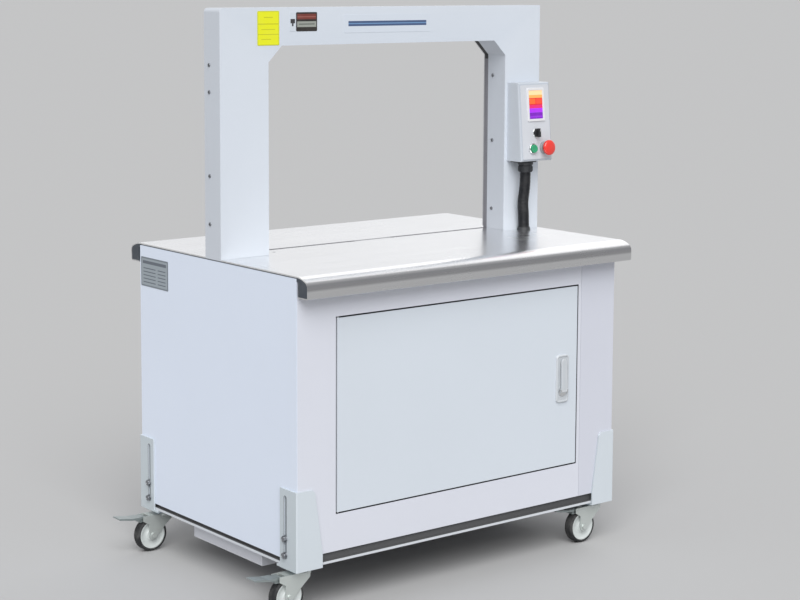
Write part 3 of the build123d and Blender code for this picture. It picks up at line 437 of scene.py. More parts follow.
def makeStudio():
    scene = bpy.context.scene
    world = bpy.data.worlds.new("studioWorld")
    world.use_nodes = True
    tree = world.node_tree
    way = tree.nodes.new("ShaderNodeTexCoord").outputs["Generated"]
    ahead = span(tree, vectorMaths(tree, "DOT_PRODUCT", way, studio["glowWay"]), 0.25, 0.8)
    low = span(tree, axisOf(tree, way, "Z"), 0.55, 0.25)
    glow = maths(tree, "MULTIPLY", maths(tree, "MULTIPLY", ahead, low), studio["glow"])
    strength = maths(tree, "ADD", 1.0, glow)
    feed(tree, tree.nodes["Background"], {"Color": studio["world"], "Strength": strength})
    scene.world = world
    for name in ("sun", "fill"):
        lamp = bpy.data.lights.new(name, "SUN")
        lamp.energy = studio[name + "Power"]
        lamp.angle = studio["sunSpread"]
        holder = bpy.data.objects.new(name, lamp)
        holder.rotation_euler = Vector(studio[name + "From"]).to_track_quat("Z", "Y").to_euler()
        scene.collection.objects.link(holder)
    reach = studio["floorReach"]
    bm = bmesh.new()
    bm.faces.new([bm.verts.new((x * reach, y * reach, 0.0)) for x, y in ((-1, -1), (1, -1), (1, 1), (-1, 1))])
    mesh = bpy.data.meshes.new("studioFloor")
    bm.to_mesh(mesh)
    bm.free()
    floor = bpy.data.objects.new("studioFloor", mesh)
    scene.collection.objects.link(floor)
    material, tree, shader = startMaterial("floorPaper")
    feed(tree, shader, {"Base Color": studio["floor"], "Roughness": 0.95, "Specular IOR Level": 0.0})
    mesh.materials.append(material)
    scene.view_settings.view_transform = "Standard"


def makeCamera():
    camera = bpy.data.objects.new("camera", bpy.data.cameras.new("camera"))
    camera.location = cameraSetup["place"]
    azimuth, elevation = cameraSetup["azimuth"], cameraSetup["elevation"]
    look = Vector((-sin(azimuth) * cos(elevation), cos(azimuth) * cos(elevation), -sin(elevation)))
    camera.rotation_euler = look.to_track_quat("-Z", "Y").to_euler()
    camera.data.lens = cameraSetup["lens"]
    camera.data.sensor_width = 36.0
    camera.data.shift_x, camera.data.shift_y = cameraSetup["shift"]
    camera.data.clip_end = 1000
    bpy.context.scene.collection.objects.link(camera)
    bpy.context.scene.camera = camera


def lathe(bm, profile, centre, axis="Z", steps=48, index=0, ring=False):
    # turned shape: profile holds (radius, place along the axis) pairs; a ring closes on itself
    turn = {"X": Matrix.Rotation(pi / 2, 4, "Y"), "Y": Matrix.Rotation(-pi / 2, 4, "X"),
            "Z": Matrix.Identity(4)}[axis]
    place = Matrix.Translation(centre) @ turn
    rows = []
    for radius, along in profile:
        count = steps if radius > 1e-7 else 1
        rows.append([bm.verts.new(place @ Vector((radius * cos(k * tau / steps),
                                                  radius * sin(k * tau / steps), along)))
                     for k in range(count)])
    pairs = list(zip(rows, rows[1:]))
    if ring:
        pairs.append((rows[-1], rows[0]))
    for lower, upper in pairs:
        for k in range(steps):
            after = (k + 1) % steps
            corners = [lower[k % len(lower)], lower[after % len(lower)],
                       upper[after % len(upper)], upper[k % len(upper)]]
            corners = list(dict.fromkeys(corners))
            if len(corners) > 2:
                bm.faces.new(corners).material_index = index


def block(bm, low, high, bevel=0.0, index=0, place=None):
    # box between two corners with rounded edges
    low, high = Vector(low), Vector(high)
    middle = Matrix.Translation((low + high) / 2) @ Matrix.Diagonal((*(high - low), 1))
    corners = bmesh.ops.create_cube(bm, size=1.0, matrix=middle)["verts"]
    for face in {face for corner in corners for face in corner.link_faces}:
        face.material_index = index
    if bevel:
        edges = list({edge for corner in corners for edge in corner.link_edges})
        made = bmesh.ops.bevel(bm, geom=edges, offset=bevel, segments=2, profile=0.6, affect="EDGES")
        corners = list({corner for face in made["faces"] for corner in face.verts})
    if place:
        bmesh.ops.transform(bm, matrix=place, verts=corners)


def roundedOutline(width, height, radius, centre=(0.0, 0.0), steps=6):
    points = []
    for quarter, (sideX, sideY) in enumerate(((1, 1), (-1, 1), (-1, -1), (1, -1))):
        for k in range(steps + 1):
            angle = (quarter + k / steps) * pi / 2
            points.append((centre[0] + sideX * (width / 2 - radius) + radius * cos(angle),
                           centre[1] + sideY * (height / 2 - radius) + radius * sin(angle)))
    return points


def roundedRings(rings, centre=(0.0, 0.0)):
    # outlines for stack from rows of width, height, corner radius and level
    return [(roundedOutline(*shape, centre), level) for *shape, level in rings]


def skin(bm, rows, index=0, lastIndex=None, caps=(True, True)):
    # faces between rings with the same number of points, and flat ends
    for lower, upper in zip(rows, rows[1:]):
        for k in range(len(lower)):
            after = (k + 1) % len(lower)
            bm.faces.new((lower[k], lower[after], upper[after], upper[k])).material_index = index
    if caps[0]:
        bm.faces.new(rows[0][::-1]).material_index = index
    if caps[1]:
        bm.faces.new(rows[-1]).material_index = index if lastIndex is None else lastIndex


def stack(bm, rings, place=None, index=0, lastIndex=None, caps=(True, True)):
    # skin through flat outlines, each at its own height
    place = place or Matrix.Identity(4)
    rows = [[bm.verts.new(place @ Vector((x, y, height))) for x, y in points] for points, height in rings]
    skin(bm, rows, index, lastIndex, caps)


def rod(bm, radius, low, high, centre, axis="Z", steps=48):
    lathe(bm, [(0.0, low), (radius, low), (radius, high), (0.0, high)], centre, axis, steps)


def makePiece(name, bm, finishes, body, replaced=(), place=None, sharp=34):
    bmesh.ops.recalc_face_normals(bm, faces=bm.faces)
    mesh = bpy.data.meshes.new(name)
    bm.to_mesh(mesh)
    bm.free()
    if not mesh.polygons:
        raise ValueError(f"{name} has no faces")
    for finish in finishes:
        mesh.materials.append(materials[finish])
    mesh.shade_smooth()
    mesh.set_sharp_from_angle(angle=radians(sharp))
    piece = bpy.data.objects.new(name, mesh)
    bpy.context.scene.collection.objects.link(piece)
    if place:
        piece.matrix_world = place
    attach(piece, body)
    if replaced:
        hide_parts(*replaced)
    return piece


def shapeOf(bm):
    mesh = bpy.data.meshes.new("shape")
    bmesh.ops.recalc_face_normals(bm, faces=bm.faces)
    bm.to_mesh(mesh)
    bm.free()
    return mesh


def cutShape(bm, tool):
    # mesh of the first shape less the second one
    base, cutter = [bpy.data.objects.new(name, shapeOf(source))
                    for name, source in (("cutBase", bm), ("cutTool", tool))]
    for holder in (base, cutter):
        bpy.context.scene.collection.objects.link(holder)
    modifier = base.modifiers.new("cut", "BOOLEAN")
    modifier.operation = "DIFFERENCE"
    modifier.solver = "EXACT"
    modifier.object = cutter
    graph = bpy.context.evaluated_depsgraph_get()
    result = bpy.data.meshes.new_from_object(base.evaluated_get(graph))
    for holder in (base, cutter):
        bpy.data.objects.remove(holder)
    if not result.polygons:
        raise ValueError("a cut left nothing")
    return result


def addCopy(bm, mesh, place):
    copy = mesh.copy()
    copy.transform(place)
    bm.from_mesh(copy)
    bpy.data.meshes.remove(copy)


def mm(*values):
    return tuple(value / 1000 for value in values)


def alongAxis(centre, way):
    # frame at a point whose Z looks along a direction
    return Matrix.Translation(centre) @ Vector(way).to_track_quat("Z", "Y").to_matrix().to_4x4()


# Casters: tyre with two grooves on a dished hub with a raised middle
casterSetup = {
    "swivel": (0.478, 0.3065), "trail": 0.038, "radius": 0.044, "half": 0.014, "rim": 0.0362,
    "bore": 0.0045,
}
corners = {"front_left": (-1, -1, -1), "front_right": (1, -1, -1), "rear_left": (-1, 1, -1),
           "rear_right": (1, 1, 1)}


def bothSides(profile):
    # the same profile on the near and the far side
    return [(across, -along) for across, along in profile] + profile[::-1]


def makeWheel(corner, sides):
    setup = casterSetup
    centre = Vector((sides[0] * setup["swivel"][0] + sides[2] * setup["trail"],
                     sides[1] * setup["swivel"][1], setup["radius"]))
    radius, half, rim = setup["radius"], setup["half"], setup["rim"]
    bm = bmesh.new()
    tyre = [(rim, 0.0122), (rim + 0.002, 0.0132), (0.0385, half - 0.0002), (0.0412, 0.0124), (0.0431, 0.0104),
            (0.0439, 0.0078), (radius, 0.0056), (0.0433, 0.005), (0.0433, 0.004), (radius, 0.0034)]
    lathe(bm, bothSides(tyre), centre, "Y", 96, 0, ring=True)
    hub = [(rim, 0.0122), (0.0336, 0.0125), (0.0322, 0.0119), (0.0306, 0.0106), (0.024, 0.0098),
           (0.018, 0.0101), (0.0166, 0.011), (0.0156, 0.0123), (0.0112, 0.0128), (setup["bore"], 0.0128)]
    lathe(bm, bothSides(hub), centre, "Y", 96, 1, ring=True)
    makePiece(f"wheel_{corner}_detail", bm, ["rubber", "hub"], f"wheel_{corner}",
              [f"wheel_{corner}"])


for corner, sides in corners.items():
    makeWheel(corner, sides)
print("wheels")

# Corrugated conduit from the box to the table
conduitSetup = {
    "route": [mm(452, -66.5, 967), mm(452, -66.5, 927), mm(448, -61, 883), mm(462, -52, 843),
              mm(462, -52, 784)],
    "radius": 0.015, "groove": 0.0017, "pitch": 0.0037, "around": 40, "stepsPerPitch": 6,
}


def routeLine(points):
    curve = bpy.data.curves.new("route", "CURVE")
    curve.dimensions = "3D"
    curve.resolution_u = 48
    spline = curve.splines.new("NURBS")
    spline.points.add(len(points) - 1)
    for knot, point in zip(spline.points, points):
        knot.co = (*point, 1.0)
    spline.order_u = 3
    spline.use_endpoint_u = True
    holder = bpy.data.objects.new("route", curve)
    bpy.context.scene.collection.objects.link(holder)
    graph = bpy.context.evaluated_depsgraph_get()
    mesh = bpy.data.meshes.new_from_object(holder.evaluated_get(graph))
    line = [vertex.co.copy() for vertex in mesh.vertices]
    bpy.data.objects.remove(holder)
    return line


def makeConduit():
    setup = conduitSetup
    around, perPitch = setup["around"], setup["stepsPerPitch"]
    line = routeLine(setup["route"])
    reach = [0.0]
    for before, after in zip(line, line[1:]):
        reach.append(reach[-1] + (after - before).length)
    count = round(reach[-1] / setup["pitch"]) * perPitch
    bm = bmesh.new()
    rows = []
    k = 0
    for step in range(count + 1):
        along = reach[-1] * step / count
        while k < len(line) - 2 and reach[k + 1] < along:
            k += 1
        part = (along - reach[k]) / max(reach[k + 1] - reach[k], 1e-9)
        centre = line[k].lerp(line[k + 1], part)
        way = (line[min(k + 2, len(line) - 1)] - line[max(k - 1, 0)]).normalized()
        shadedSide = (Vector((1, 0, 0)) - way * way.x).normalized()
        other = way.cross(shadedSide)
        dip = (0.5 - 0.5 * cos(tau * step / perPitch)) ** 1.6
        radius = setup["radius"] - setup["groove"] * dip
        rows.append([bm.verts.new(centre + shadedSide * radius * cos(a * tau / around)
                                  + other * radius * sin(a * tau / around)) for a in range(around)])
    skin(bm, rows)
    makePiece("conduitHose", bm, ["hose"], "machine", ["control_conduit"], sharp=70)


def makeFittings():
    # ribbed gland nut under a thin seal plate, table grommet with a soft lip, and the inlet gland
    bm = bmesh.new()
    low = conduitSetup["route"][0]
    centre = (low[0], low[1], 0.0)
    lathe(bm, [(0.0152, 0.967), (0.0178, 0.967), (0.0186, 0.9685), (0.0186, 0.9835), (0.0172, 0.985),
               (0.0172, 0.9862), (0.02, 0.9868), (0.0208, 0.9885), (0.0208, 0.994), (0.0, 0.9948)],
          centre, "Z", 64)
    for rib in range(16):
        turn = Matrix.Translation(centre) @ Matrix.Rotation(rib * tau / 16, 4, "Z")
        block(bm, (0.0178, -0.0016, 0.97), (0.0199, 0.0016, 0.9825), 0.0005, 0, turn)
    seal = [(0.058, 0.044, 0.006, 0.9935), (0.06, 0.046, 0.007, 0.9945), (0.06, 0.046, 0.007, 0.9969)]
    stack(bm, roundedRings(seal, (0.449, -0.0615)))
    foot = conduitSetup["route"][-1]
    lathe(bm, [(0.0152, 0.807), (0.018, 0.807), (0.018, 0.8085), (0.0172, 0.8105), (0.0165, 0.8135),
               (0.0158, 0.8148), (0.0152, 0.814)], (foot[0], foot[1], 0.0), "Z", 64, ring=True)
    inlet = mm(420, 0, 220)
    lathe(bm, [(0.0052, 0.3385), (0.0098, 0.3385), (0.0098, 0.3466), (0.014, 0.3468), (0.014, 0.354),
               (0.0118, 0.355), (0.0118, 0.364), (0.0098, 0.37), (0.0052, 0.3705)], inlet, "Y", 48,
          ring=True)
    for rib in range(12):
        turn = Matrix.Translation(inlet) @ Matrix.Rotation(rib * tau / 12, 4, "Y")
        block(bm, (0.0112, 0.3555, -0.0012), (0.0128, 0.363, 0.0012), 0.0003, 0, turn)
    makePiece("conduitGlands", bm, ["blackPlastic"], "machine", ["conduit_fittings"])


makeConduit()
makeFittings()
print("conduit")

# Control face: local X to the right, Y up the slope, Z out of the panel
faceSetup = {
    "origin": mm(470.5, -84.0, 1102.5), "slope": 0.0804,
    "start": mm(-15.5, -71.7), "stop": mm(26.5, -70.7), "selector": mm(0.5, -29.6), "screen": mm(1.0, 46.6),
}
slope = faceSetup["slope"]
outward = Vector((0, -cos(slope), sin(slope)))
upward = Vector((0, sin(slope), cos(slope)))
facePlace = Matrix.Translation(faceSetup["origin"]) @ Matrix(
    ((1, 0, 0, 0), (0, upward.y, outward.y, 0), (0, upward.z, outward.z, 0), (0, 0, 0, 1)))


def makeControls():
    startX, startY = faceSetup["start"]
    stopX, stopY = faceSetup["stop"]
    turnX, turnY = faceSetup["selector"]
    screenX, screenY = faceSetup["screen"]
    bm = bmesh.new()
    frameRings = [(0.062, 0.09, 0.004, 0.0015), (0.062, 0.09, 0.004, 0.0036),
                  (0.0606, 0.0886, 0.0034, 0.0045), (0.05, 0.078, 0.0024, 0.0045),
                  (0.0486, 0.0766, 0.0018, 0.0032)]
    stack(bm, roundedRings(frameRings), lastIndex=1)
    place = facePlace @ Matrix.Translation((screenX, screenY, 0))
    makePiece("touchScreen", bm, ["screenFrame", "screenTiles"], "machine", ["touch_screen"],
              place)

    bm = bmesh.new()
    lathe(bm, [(0.0114, 0.0015), (0.0145, 0.0015), (0.0145, 0.0042), (0.0138, 0.0056), (0.0128, 0.0065),
               (0.0117, 0.0063), (0.0114, 0.0058)], (startX, startY, 0), "Z", 64, 0, ring=True)
    lathe(bm, [(0.0124, 0.0015), (0.017, 0.0015), (0.017, 0.007), (0.0162, 0.0088), (0.015, 0.0095),
               (0.0128, 0.0095), (0.0124, 0.009)], (stopX, stopY, 0), "Z", 64, 1, ring=True)
    lathe(bm, [(0.0054, 0.0015), (0.013, 0.0015), (0.013, 0.0026), (0.0124, 0.0034), (0.0114, 0.0035),
               (0.0054, 0.0035)], (turnX, turnY, 0), "Z", 64, 0, ring=True)
    for notch in range(20):
        turn = Matrix.Translation((stopX, stopY, 0)) @ Matrix.Rotation(notch * tau / 20, 4, "Z")
        block(bm, (0.0162, -0.0008, 0.0022), (0.017, 0.0008, 0.0068), 0.0002, 1, turn)
    makePiece("buttonRings", bm, ["zinc", "collarPlastic"], "machine", ["button_bezels"],
              facePlace)

    bm = bmesh.new()
    dome = [(0.0205 * cos(a), 0.0225 + 0.0075 * sin(a)) for a in [k * pi / 24 for k in range(1, 12)]]
    lathe(bm, [(0.0, 0.0175), (0.0178, 0.0175), (0.0196, 0.018), (0.0204, 0.0192), (0.0205, 0.0225), *dome,
               (0.0, 0.03)], (stopX, stopY, 0), "Z", 96, 0)
    lathe(bm, [(0.0, -0.0125), (0.005, -0.0125), (0.005, 0.0075), (0.0112, 0.0075), (0.012, 0.0084),
               (0.012, 0.0176), (0.0, 0.0176)], (stopX, stopY, 0), "Z", 64, 1)
    makePiece("stopMushroom", bm, ["redPlastic", "blackPlastic"], "e_stop", ["e_stop_button"],
              facePlace)

    bm = bmesh.new()
    lathe(bm, [(0.0, -0.0125), (0.005, -0.0125), (0.005, 0.005), (0.01, 0.005), (0.0108, 0.0058),
               (0.011, 0.0072), (0.011, 0.0094), (0.0104, 0.0106), (0.0092, 0.011), (0.0076, 0.0106),
               (0.004, 0.0101), (0.0, 0.01)], (startX, startY, 0), "Z", 64, 0)
    makePiece("startCap", bm, ["greenPlastic"], "start_button", ["start_button"], facePlace)

    bm = bmesh.new()
    lathe(bm, [(0.0, -0.0105), (0.005, -0.0105), (0.005, 0.0039), (0.0106, 0.0039), (0.011, 0.0046),
               (0.011, 0.0076), (0.0102, 0.0088), (0.0, 0.009)], (turnX, turnY, 0), "Z", 64, 0)
    grip = [(0.007, 0.024, 0.003, 0.008), (0.0066, 0.0236, 0.0028, 0.015),
            (0.0058, 0.0228, 0.0024, 0.0172), (0.0044, 0.0214, 0.0018, 0.0179)]
    stack(bm, roundedRings(grip, (turnX, turnY)))
    block(bm, (turnX - 0.0007, turnY + 0.003, 0.017), (turnX + 0.0007, turnY + 0.01, 0.01792), 0.0002, 1)
    makePiece("selectorGrip", bm, ["selectorPlastic", "whitePlastic"], "selector",
              ["selector_knob"], facePlace)


makeControls()
print("controls")

# Thin plates: a sheet with eased corners, its print made by the material in the plate's own frame
plateSetup = [
    ("yellowLabel", "yellowPrint", 0.065, 0.084, (-0.3715, -0.0335, 1.365), (0, -1, 0)),
    ("iconPatch", "iconPrint", 0.019, 0.047, (-0.2985, -0.0335, 1.3795), (0, -1, 0)),
    ("darkLabel", "darkPrint", 0.064, 0.047, (-0.256, -0.0335, 1.3795), (0, -1, 0)),
    ("blankBadge", "badgePrint", 0.281, 0.046, (0.0005, -0.0335, 1.373), (0, -1, 0)),
    ("ratingPlate", "ratingPrint", 0.131, 0.076, (-0.513, 0.276, 0.735), (-1, 0, 0)),
]


def makePlates():
    for name, finish, width, height, centre, way in plateSetup:
        bm = bmesh.new()
        stack(bm, roundedRings([(width, height, 0.003, 0.0), (width, height, 0.003, 0.0004),
                                (width - 0.0005, height - 0.0005, 0.0028, 0.0006)]))
        across = Vector((0, 0, 1)).cross(Vector(way))
        place = Matrix(((across.x, 0, way[0], centre[0]), (across.y, 0, way[1], centre[1]),
                        (0, 1, 0, centre[2]), (0, 0, 0, 1)))
        makePiece(name, bm, [finish], "machine",
                  ["name_plates"] if name == "blankBadge" else (), place)


makePlates()
print("plates")

# Screws with a cross recess, and hexagon bolts with washers
screwSetup = {
    "outer": mm(890, 1008, 1212, 1277.5), "inner": mm(863, 1050, 1226), "outerY": 0.0135, "innerY": 0.0165,
    "outerX": (-0.513, 0.529), "innerX": (-0.371, 0.405), "table": ((-0.331, 0.0025), (0.365, 0.0025)),
    "tableTop": 0.804, "rearFace": 0.3465, "boltX": 0.5176, "boltY": 0.3055, "boltShank": 0.012,
}


def panHead(radius, height):
    # domed head on a short shank, with a cross recess cut by one cross-shaped tool
    bm = bmesh.new()
    lathe(bm, [(0.0, -0.006), (radius * 0.5, -0.006), (radius * 0.5, 0.0), (radius, 0.0),
               (radius, height * 0.35), (radius * 0.94, height * 0.68), (radius * 0.78, height * 0.9),
               (radius * 0.5, height), (0.0, height)], (0, 0, 0), "Z", 32)
    tool = bmesh.new()
    arm, half = radius * 0.62, radius * 0.13
    quarter = [(arm, -half), (arm, half), (half, half)]
    cross = []
    for turn in range(4):
        shadedSide = Matrix.Rotation(turn * pi / 2, 2)
        cross += [tuple(shadedSide @ Vector(point)) for point in quarter]
    stack(tool, [(cross, height * 0.45), (cross, height * 2)])
    return cutShape(bm, tool)


def hexHead(flat, height):
    # hexagon head on a washer, its corners chamfered and its top dished
    bm = bmesh.new()
    washer, half, steps = 0.0016, flat * 0.8, 48
    lathe(bm, [(0.0, 0.0), (flat * 0.95, 0.0), (flat, 0.0003), (flat, 0.0012), (flat * 0.96, washer),
               (0.0, washer)], (0, 0, 0), "Z", steps)

    def hexagon(limit):
        # corners are cut back to the limit, so a small limit gives a circle
        points = []
        for k in range(steps):
            angle = k * tau / steps
            reach = min(half / cos((angle % (pi / 3)) - pi / 6), limit)
            points.append((reach * cos(angle), reach * sin(angle)))
        return points
    stack(bm, [(hexagon(1.0), washer), (hexagon(1.0), height - 0.0009), (hexagon(half), height),
               (hexagon(flat * 0.62), height), (hexagon(flat * 0.58), height - 0.0005)])
    return shapeOf(bm)


def makeScrews():
    setup = screwSetup
    head = panHead(0.0048, 0.0025)
    bm = bmesh.new()
    count = 0
    for edge, outside in (("outer", 1), ("inner", -1)):
        for face in setup[edge + "X"]:
            way = (outside if face > 0 else -outside, 0, 0)
            for height in setup[edge]:
                count += 1
                place = alongAxis((face, setup[edge + "Y"], height), way)
                addCopy(bm, head, place @ Matrix.Rotation(count * 0.7, 4, "Z"))
    flatHead = panHead(0.004, 0.003)
    for x, y in setup["table"]:
        addCopy(bm, flatHead, Matrix.Translation((x, y, setup["tableTop"])))
    makePiece("coverScrewHeads", bm, ["darkZinc"], "machine", ["cover_screws"])

    bolt = hexHead(0.0084, 0.0071)
    boltX, boltY, shank = setup["boltX"], setup["boltY"], setup["boltShank"]
    bm = bmesh.new()
    for sideX in (-1, 1):
        for sideY in (-1, 1):
            for height in mm(141, 181):
                place = alongAxis((sideX * boltX, sideY * boltY, height), (sideX, 0, 0))
                addCopy(bm, bolt, place @ Matrix.Rotation(height * 40, 4, "Z"))
                start = (boltX if sideX > 0 else shank - boltX, sideY * boltY, height)
                rod(bm, 0.0039, -shank, 0.0, start, "X", 24)
    makePiece("legBoltHeads", bm, ["darkZinc"], "machine", ["leg_bolts"])

    # rear panel: rows along the foot and the top, a column down each side, two over the louvres
    rows = [(x, 0.16, x * 9) for x in mm(-400, -135, 135, 400)]
    rows += [(x, 0.78, x * 9) for x in mm(-495, -165, 165, 495)]
    rows += [(x, z, z * 7) for z in mm(320, 470, 620) for x in mm(-495, 495)]
    rows += [(x, 0.7, 0) for x in mm(-107, 103)]
    bm = bmesh.new()
    for x, z, angle in rows:
        place = alongAxis((x, setup["rearFace"], z), (0, 1, 0))
        addCopy(bm, head, place @ Matrix.Rotation(angle, 4, "Z"))
    makePiece("rearPanelScrews", bm, ["zinc"], "machine")


makeScrews()
print("screws and bolts")

# Leg slots, door and opening
slotShadeSetup = {"face": 0.5173, "panel": 0.51305, "y": 0.3055, "middle": 0.20975, "slot": (0.009, 0.1465),
              "strip": (0.0122, 0.1497), "thick": 0.0002, "film": (0.014, 0.156)}


def makeSlotShades():
    # thin dark strip round each leg's slot, and a dark film on the panel behind it: painted shade at the
    # slot's edge and inside the slot
    setup = slotShadeSetup
    for corner, sides in corners.items():
        place = Matrix(((0, 0, sides[0], sides[0] * setup["face"]), (sides[0], 0, 0, sides[1] * setup["y"]),
                        (0, 1, 0, setup["middle"]), (0, 0, 0, 1)))
        bm = bmesh.new()
        (slotWide, slotTall), (wide, tall) = setup["slot"], setup["strip"]
        inner = roundedOutline(slotWide, slotTall, slotWide / 2, steps=10)
        outer = roundedOutline(wide, tall, wide / 2, steps=10)
        thick = setup["thick"]
        stack(bm, [(inner, 0.0), (outer, 0.0), (outer, thick), (inner, thick), (inner, 0.0)], place,
              caps=(False, False))
        bmesh.ops.remove_doubles(bm, verts=bm.verts, dist=1e-6)
        makePiece(f"slotShadeStrip_{corner}", bm, ["slotShadeSheet"], f"leg_{corner}")
        bm = bmesh.new()
        wide, tall = (size / 2 for size in setup["film"])
        block(bm, (-wide, -tall, 0.0), (wide, tall, thick), 0.0,
              place=place @ Matrix.Translation((0, 0, setup["panel"] - setup["face"])))
        makePiece(f"slotShadeFilm_{corner}", bm, ["slotShadeSheet"], "machine")


makeSlotShades()

gapShadeSealSetup = {"door": ((-0.396, 0.3805), (0.233, 0.698)), "gap": 0.004, "thick": 0.0009,
             "depth": (-0.3452, -0.33), "eased": 0.0002, "hingeSide": 0.012}


def makeGapShadeSeals():
    # black rubber edging round the opening and along three edges of the door, which also serves as painted
    # shade to darken the door gap
    setup = gapShadeSealSetup
    (left, right), (low, high) = setup["door"]
    thick, gap, (front, back), eased = setup["thick"], setup["gap"], setup["depth"], setup["eased"]
    bm = bmesh.new()
    for near, far in ((left - gap, left - gap + thick), (right + gap - thick, right + gap)):
        block(bm, (near, front, low - gap), (far, back, high + gap), eased)
    for near, far in ((low - gap, low - gap + thick), (high + gap - thick, high + gap)):
        block(bm, (left - gap + thick, front, near), (right + gap - thick, back, far), eased)
    makePiece("openingShadeSeal", bm, ["blackPlastic"], "machine")
    bm = bmesh.new()
    block(bm, (right, front, low), (right + thick, back, high), eased)
    for near, far in ((low - thick, low), (high, high + thick)):
        block(bm, (left + setup["hingeSide"], front, near), (right + thick, back, far), eased)
    makePiece("doorShadeSeal", bm, ["blackPlastic"], "door")


makeGapShadeSeals()
print("strips, films and seals")

# Pressed louvre hoods over the rear slots
louvreSetup = {"columns": mm(-225, -75, 75, 225), "low": 0.56, "pitch": 0.018, "rows": 8, "half": 0.049,
               "height": 0.011, "depth": 0.0052, "face": 0.3465, "sheet": 0.0007}


def makeLouvres():
    setup = louvreSetup
    bm = bmesh.new()
    across, down = 18, 6
    for column in setup["columns"]:
        for row in range(setup["rows"]):
            top = setup["low"] + row * setup["pitch"] + setup["height"] / 2
            skins = []
            for inset in (0.0, setup["sheet"]):
                grid = []
                for k in range(down + 1):
                    line = []
                    for step in range(across + 1):
                        shift = 2 * step / across - 1
                        x = column + shift * (setup["half"] - inset)
                        end = min(1.0, (1 - abs(shift)) / 0.16)
                        swell = sin(end * pi / 2) * sin(k / down * pi / 2)
                        line.append(bm.verts.new((x, setup["face"] + (setup["depth"] - inset) * swell,
                                                  top - setup["height"] * k / down)))
                    grid.append(line)
                skins.append(grid)
                for upper, lower in zip(grid, grid[1:]):
                    for step in range(across):
                        bm.faces.new((upper[step], upper[step + 1], lower[step + 1], lower[step]))
            outer, inner = skins[0][-1], skins[1][-1]
            for step in range(across):
                bm.faces.new((outer[step], outer[step + 1], inner[step + 1], inner[step]))
    makePiece("louvreHoods", bm, ["front"], "machine", sharp=50)


makeLouvres()

# Lock: cup with a rolled rim, and a handle that narrows to its tip and turns on the spindle's pin
lockSetup = {"x": 0.328, "middle": 0.462, "width": 0.042, "length": 0.124, "face": -0.3465, "spindle": 0.43,
             "handleTop": 0.514, "handleY": -0.352, "pinY": -0.35575, "pinBore": 0.0022}


def makeLock():
    setup = lockSetup
    width, length = setup["width"], setup["length"]
    # how far each ring stands in from the rim, and its height
    cupRim = [(0.0, 0.0), (0.0, 0.003), (0.0012, 0.0044), (0.003, 0.005), (0.0072, 0.005),
             (0.0088, 0.0046), (0.0098, 0.0036), (0.011, 0.0031)]
    place = Matrix(((1, 0, 0, setup["x"]), (0, 0, -1, setup["face"]), (0, 1, 0, setup["middle"]),
                    (0, 0, 0, 1)))
    bm = bmesh.new()
    stack(bm, [(roundedOutline(width - inset, length - inset, 0.009 - inset / 2), level)
               for inset, level in cupRim])
    tool = bmesh.new()
    rod(tool, 0.0073, -0.01, 0.02, (0, setup["spindle"] - setup["middle"], 0))
    drilled = bmesh.new()
    drilled.from_mesh(cutShape(bm, tool))
    makePiece("lockCup", drilled, ["lockPaint"], "door", ["lock_plate"], place)

    bm = bmesh.new()
    x, low, high = setup["x"], setup["spindle"], setup["handleTop"]
    back, steps = setup["handleY"], 20
    rows = []
    for step in range(steps + 1):
        part = step / steps
        z = low + part * (high - low)
        half = 0.009 if part < 0.82 else 0.009 * (1 - ((part - 0.82) / 0.18) ** 2.4 * 0.55)
        thick = 0.0075 if part < 0.1 else 0.0062 + 0.0013 * cos((part - 0.1) * pi * 1.1)
        row = []
        for k in range(16):
            angle = k * tau / 16
            across = max(-1, min(1, 1.35 * cos(angle)))
            deep = max(-1, min(1, 1.35 * sin(angle)))
            row.append(bm.verts.new((x + half * across, back - thick / 2 + thick / 2 * deep, z)))
        rows.append(row)
    skin(bm, rows)
    barrel, bore = (x, setup["pinY"], low), setup["pinBore"]
    tool = bmesh.new()
    rod(tool, bore, -0.012, 0.012, barrel, "X", 32)
    handle = bmesh.new()
    handle.from_mesh(cutShape(bm, tool))
    knuckle = [(bore, 0.0089), (0.0033, 0.0089), (0.00375, 0.0084)]
    lathe(handle, bothSides(knuckle), barrel, "X", 32, ring=True)
    makePiece("lockHandle", handle, ["lockPaint"], "lock_lever", ["lock_lever"])


makeLock()
print("lock")

# Reel: ribbed flanges with a rolled rim, and strap wound in even rows
reelSetup = {"centre": mm(120, -190, 380), "radius": 0.2, "half": 0.095, "core": 0.1, "bore": 0.013,
             "wound": 0.175, "ribs": 12, "strap": 0.012, "tube": 0.091, "coil": 0.0905}


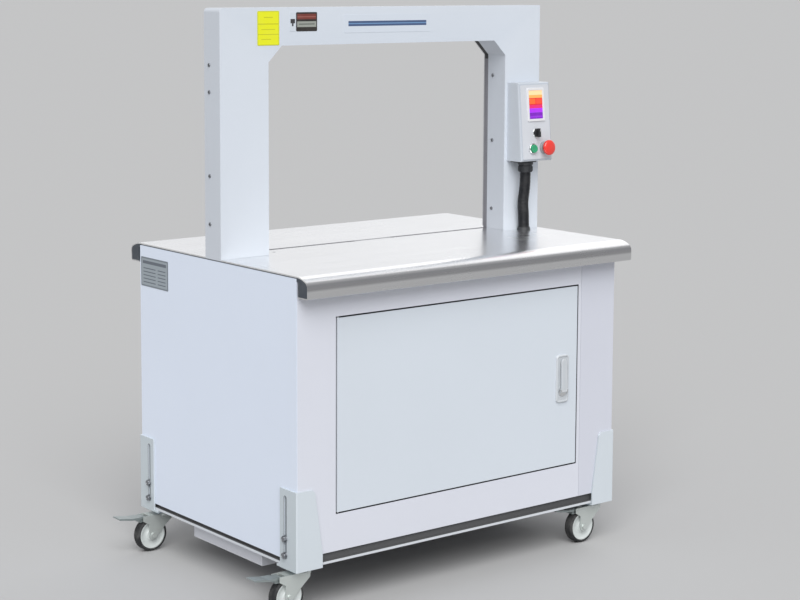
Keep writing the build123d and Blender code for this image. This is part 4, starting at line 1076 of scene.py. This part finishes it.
def makeReel():
    setup = reelSetup
    centre, half = setup["centre"], setup["half"]
    bm = bmesh.new()
    for shadedSide in (-1, 1):
        shape = [(setup["bore"], half - 0.004), (setup["bore"], half), (0.03, half), (0.032, half - 0.0012),
                 (0.095, half - 0.0012), (0.099, half), (0.108, half), (0.112, half - 0.0018),
                 (0.186, half - 0.0018), (0.19, half), (setup["radius"] - 0.001, half),
                 (setup["radius"], half - 0.001), (setup["radius"], half - 0.003),
                 (setup["radius"] - 0.001, half - 0.004)]
        lathe(bm, [(across, shadedSide * along) for across, along in shape], centre, "Y", 96, 0, ring=True)
        for rib in range(setup["ribs"]):
            turn = Matrix.Translation(centre) @ Matrix.Rotation(rib * tau / setup["ribs"], 4, "Y")
            near, far = sorted((shadedSide * (half - 0.003), shadedSide * (half - 0.0001)))
            block(bm, (0.11, near, -0.0022), (0.188, far, 0.0022), 0.0006, 0, turn)
            block(bm, (0.031, near, -0.0022), (0.097, far, 0.0022), 0.0006, 0, turn)
    tube, coil = setup["tube"], setup["coil"]
    for inner, outer, steps in ((setup["bore"], 0.021, 64), (0.096, 0.0995, 96)):
        lathe(bm, [(inner, tube), (outer, tube), (outer, -tube), (inner, -tube)], centre, "Y", steps, 0,
              ring=True)
    rows = round(2 * coil / setup["strap"])
    outline = [(setup["core"], -coil)]
    for row in range(rows):
        start = -coil + row * 2 * coil / rows
        end = start + 2 * coil / rows
        high = setup["wound"] - (0.0014 if row % 2 else 0.0)
        outline += [(high - 0.0012, start + 0.0001), (high, start + 0.0006), (high, end - 0.0006),
                    (high - 0.0012, end - 0.0001)]
    outline.append((setup["core"], coil))
    lathe(bm, outline, centre, "Y", 128, 1, ring=True)
    makePiece("reelOfStrap", bm, ["reelPlastic", "strap"], "strap_reel", ["strap_reel"])


makeReel()

# Cooling fins round the head's motor
finSetup = {"centre": (0.0, 0.0425, 0.658), "from": -0.268, "to": -0.15, "count": 15, "inner": 0.0415,
            "outer": 0.0455}


def makeFins():
    setup = finSetup
    bm = bmesh.new()
    for k in range(setup["count"]):
        middle = setup["from"] + k * (setup["to"] - setup["from"]) / (setup["count"] - 1)
        lathe(bm, [(setup["inner"], middle - 0.0016), (setup["outer"], middle - 0.0011),
                   (setup["outer"], middle + 0.0011), (setup["inner"], middle + 0.0016)],
              setup["centre"], "X", 72, 0, ring=True)
    makePiece("motorFins", bm, ["motor"], "machine")


makeFins()
print("reel and motor")

makeStudio()
makeCamera()
print("studio and camera")
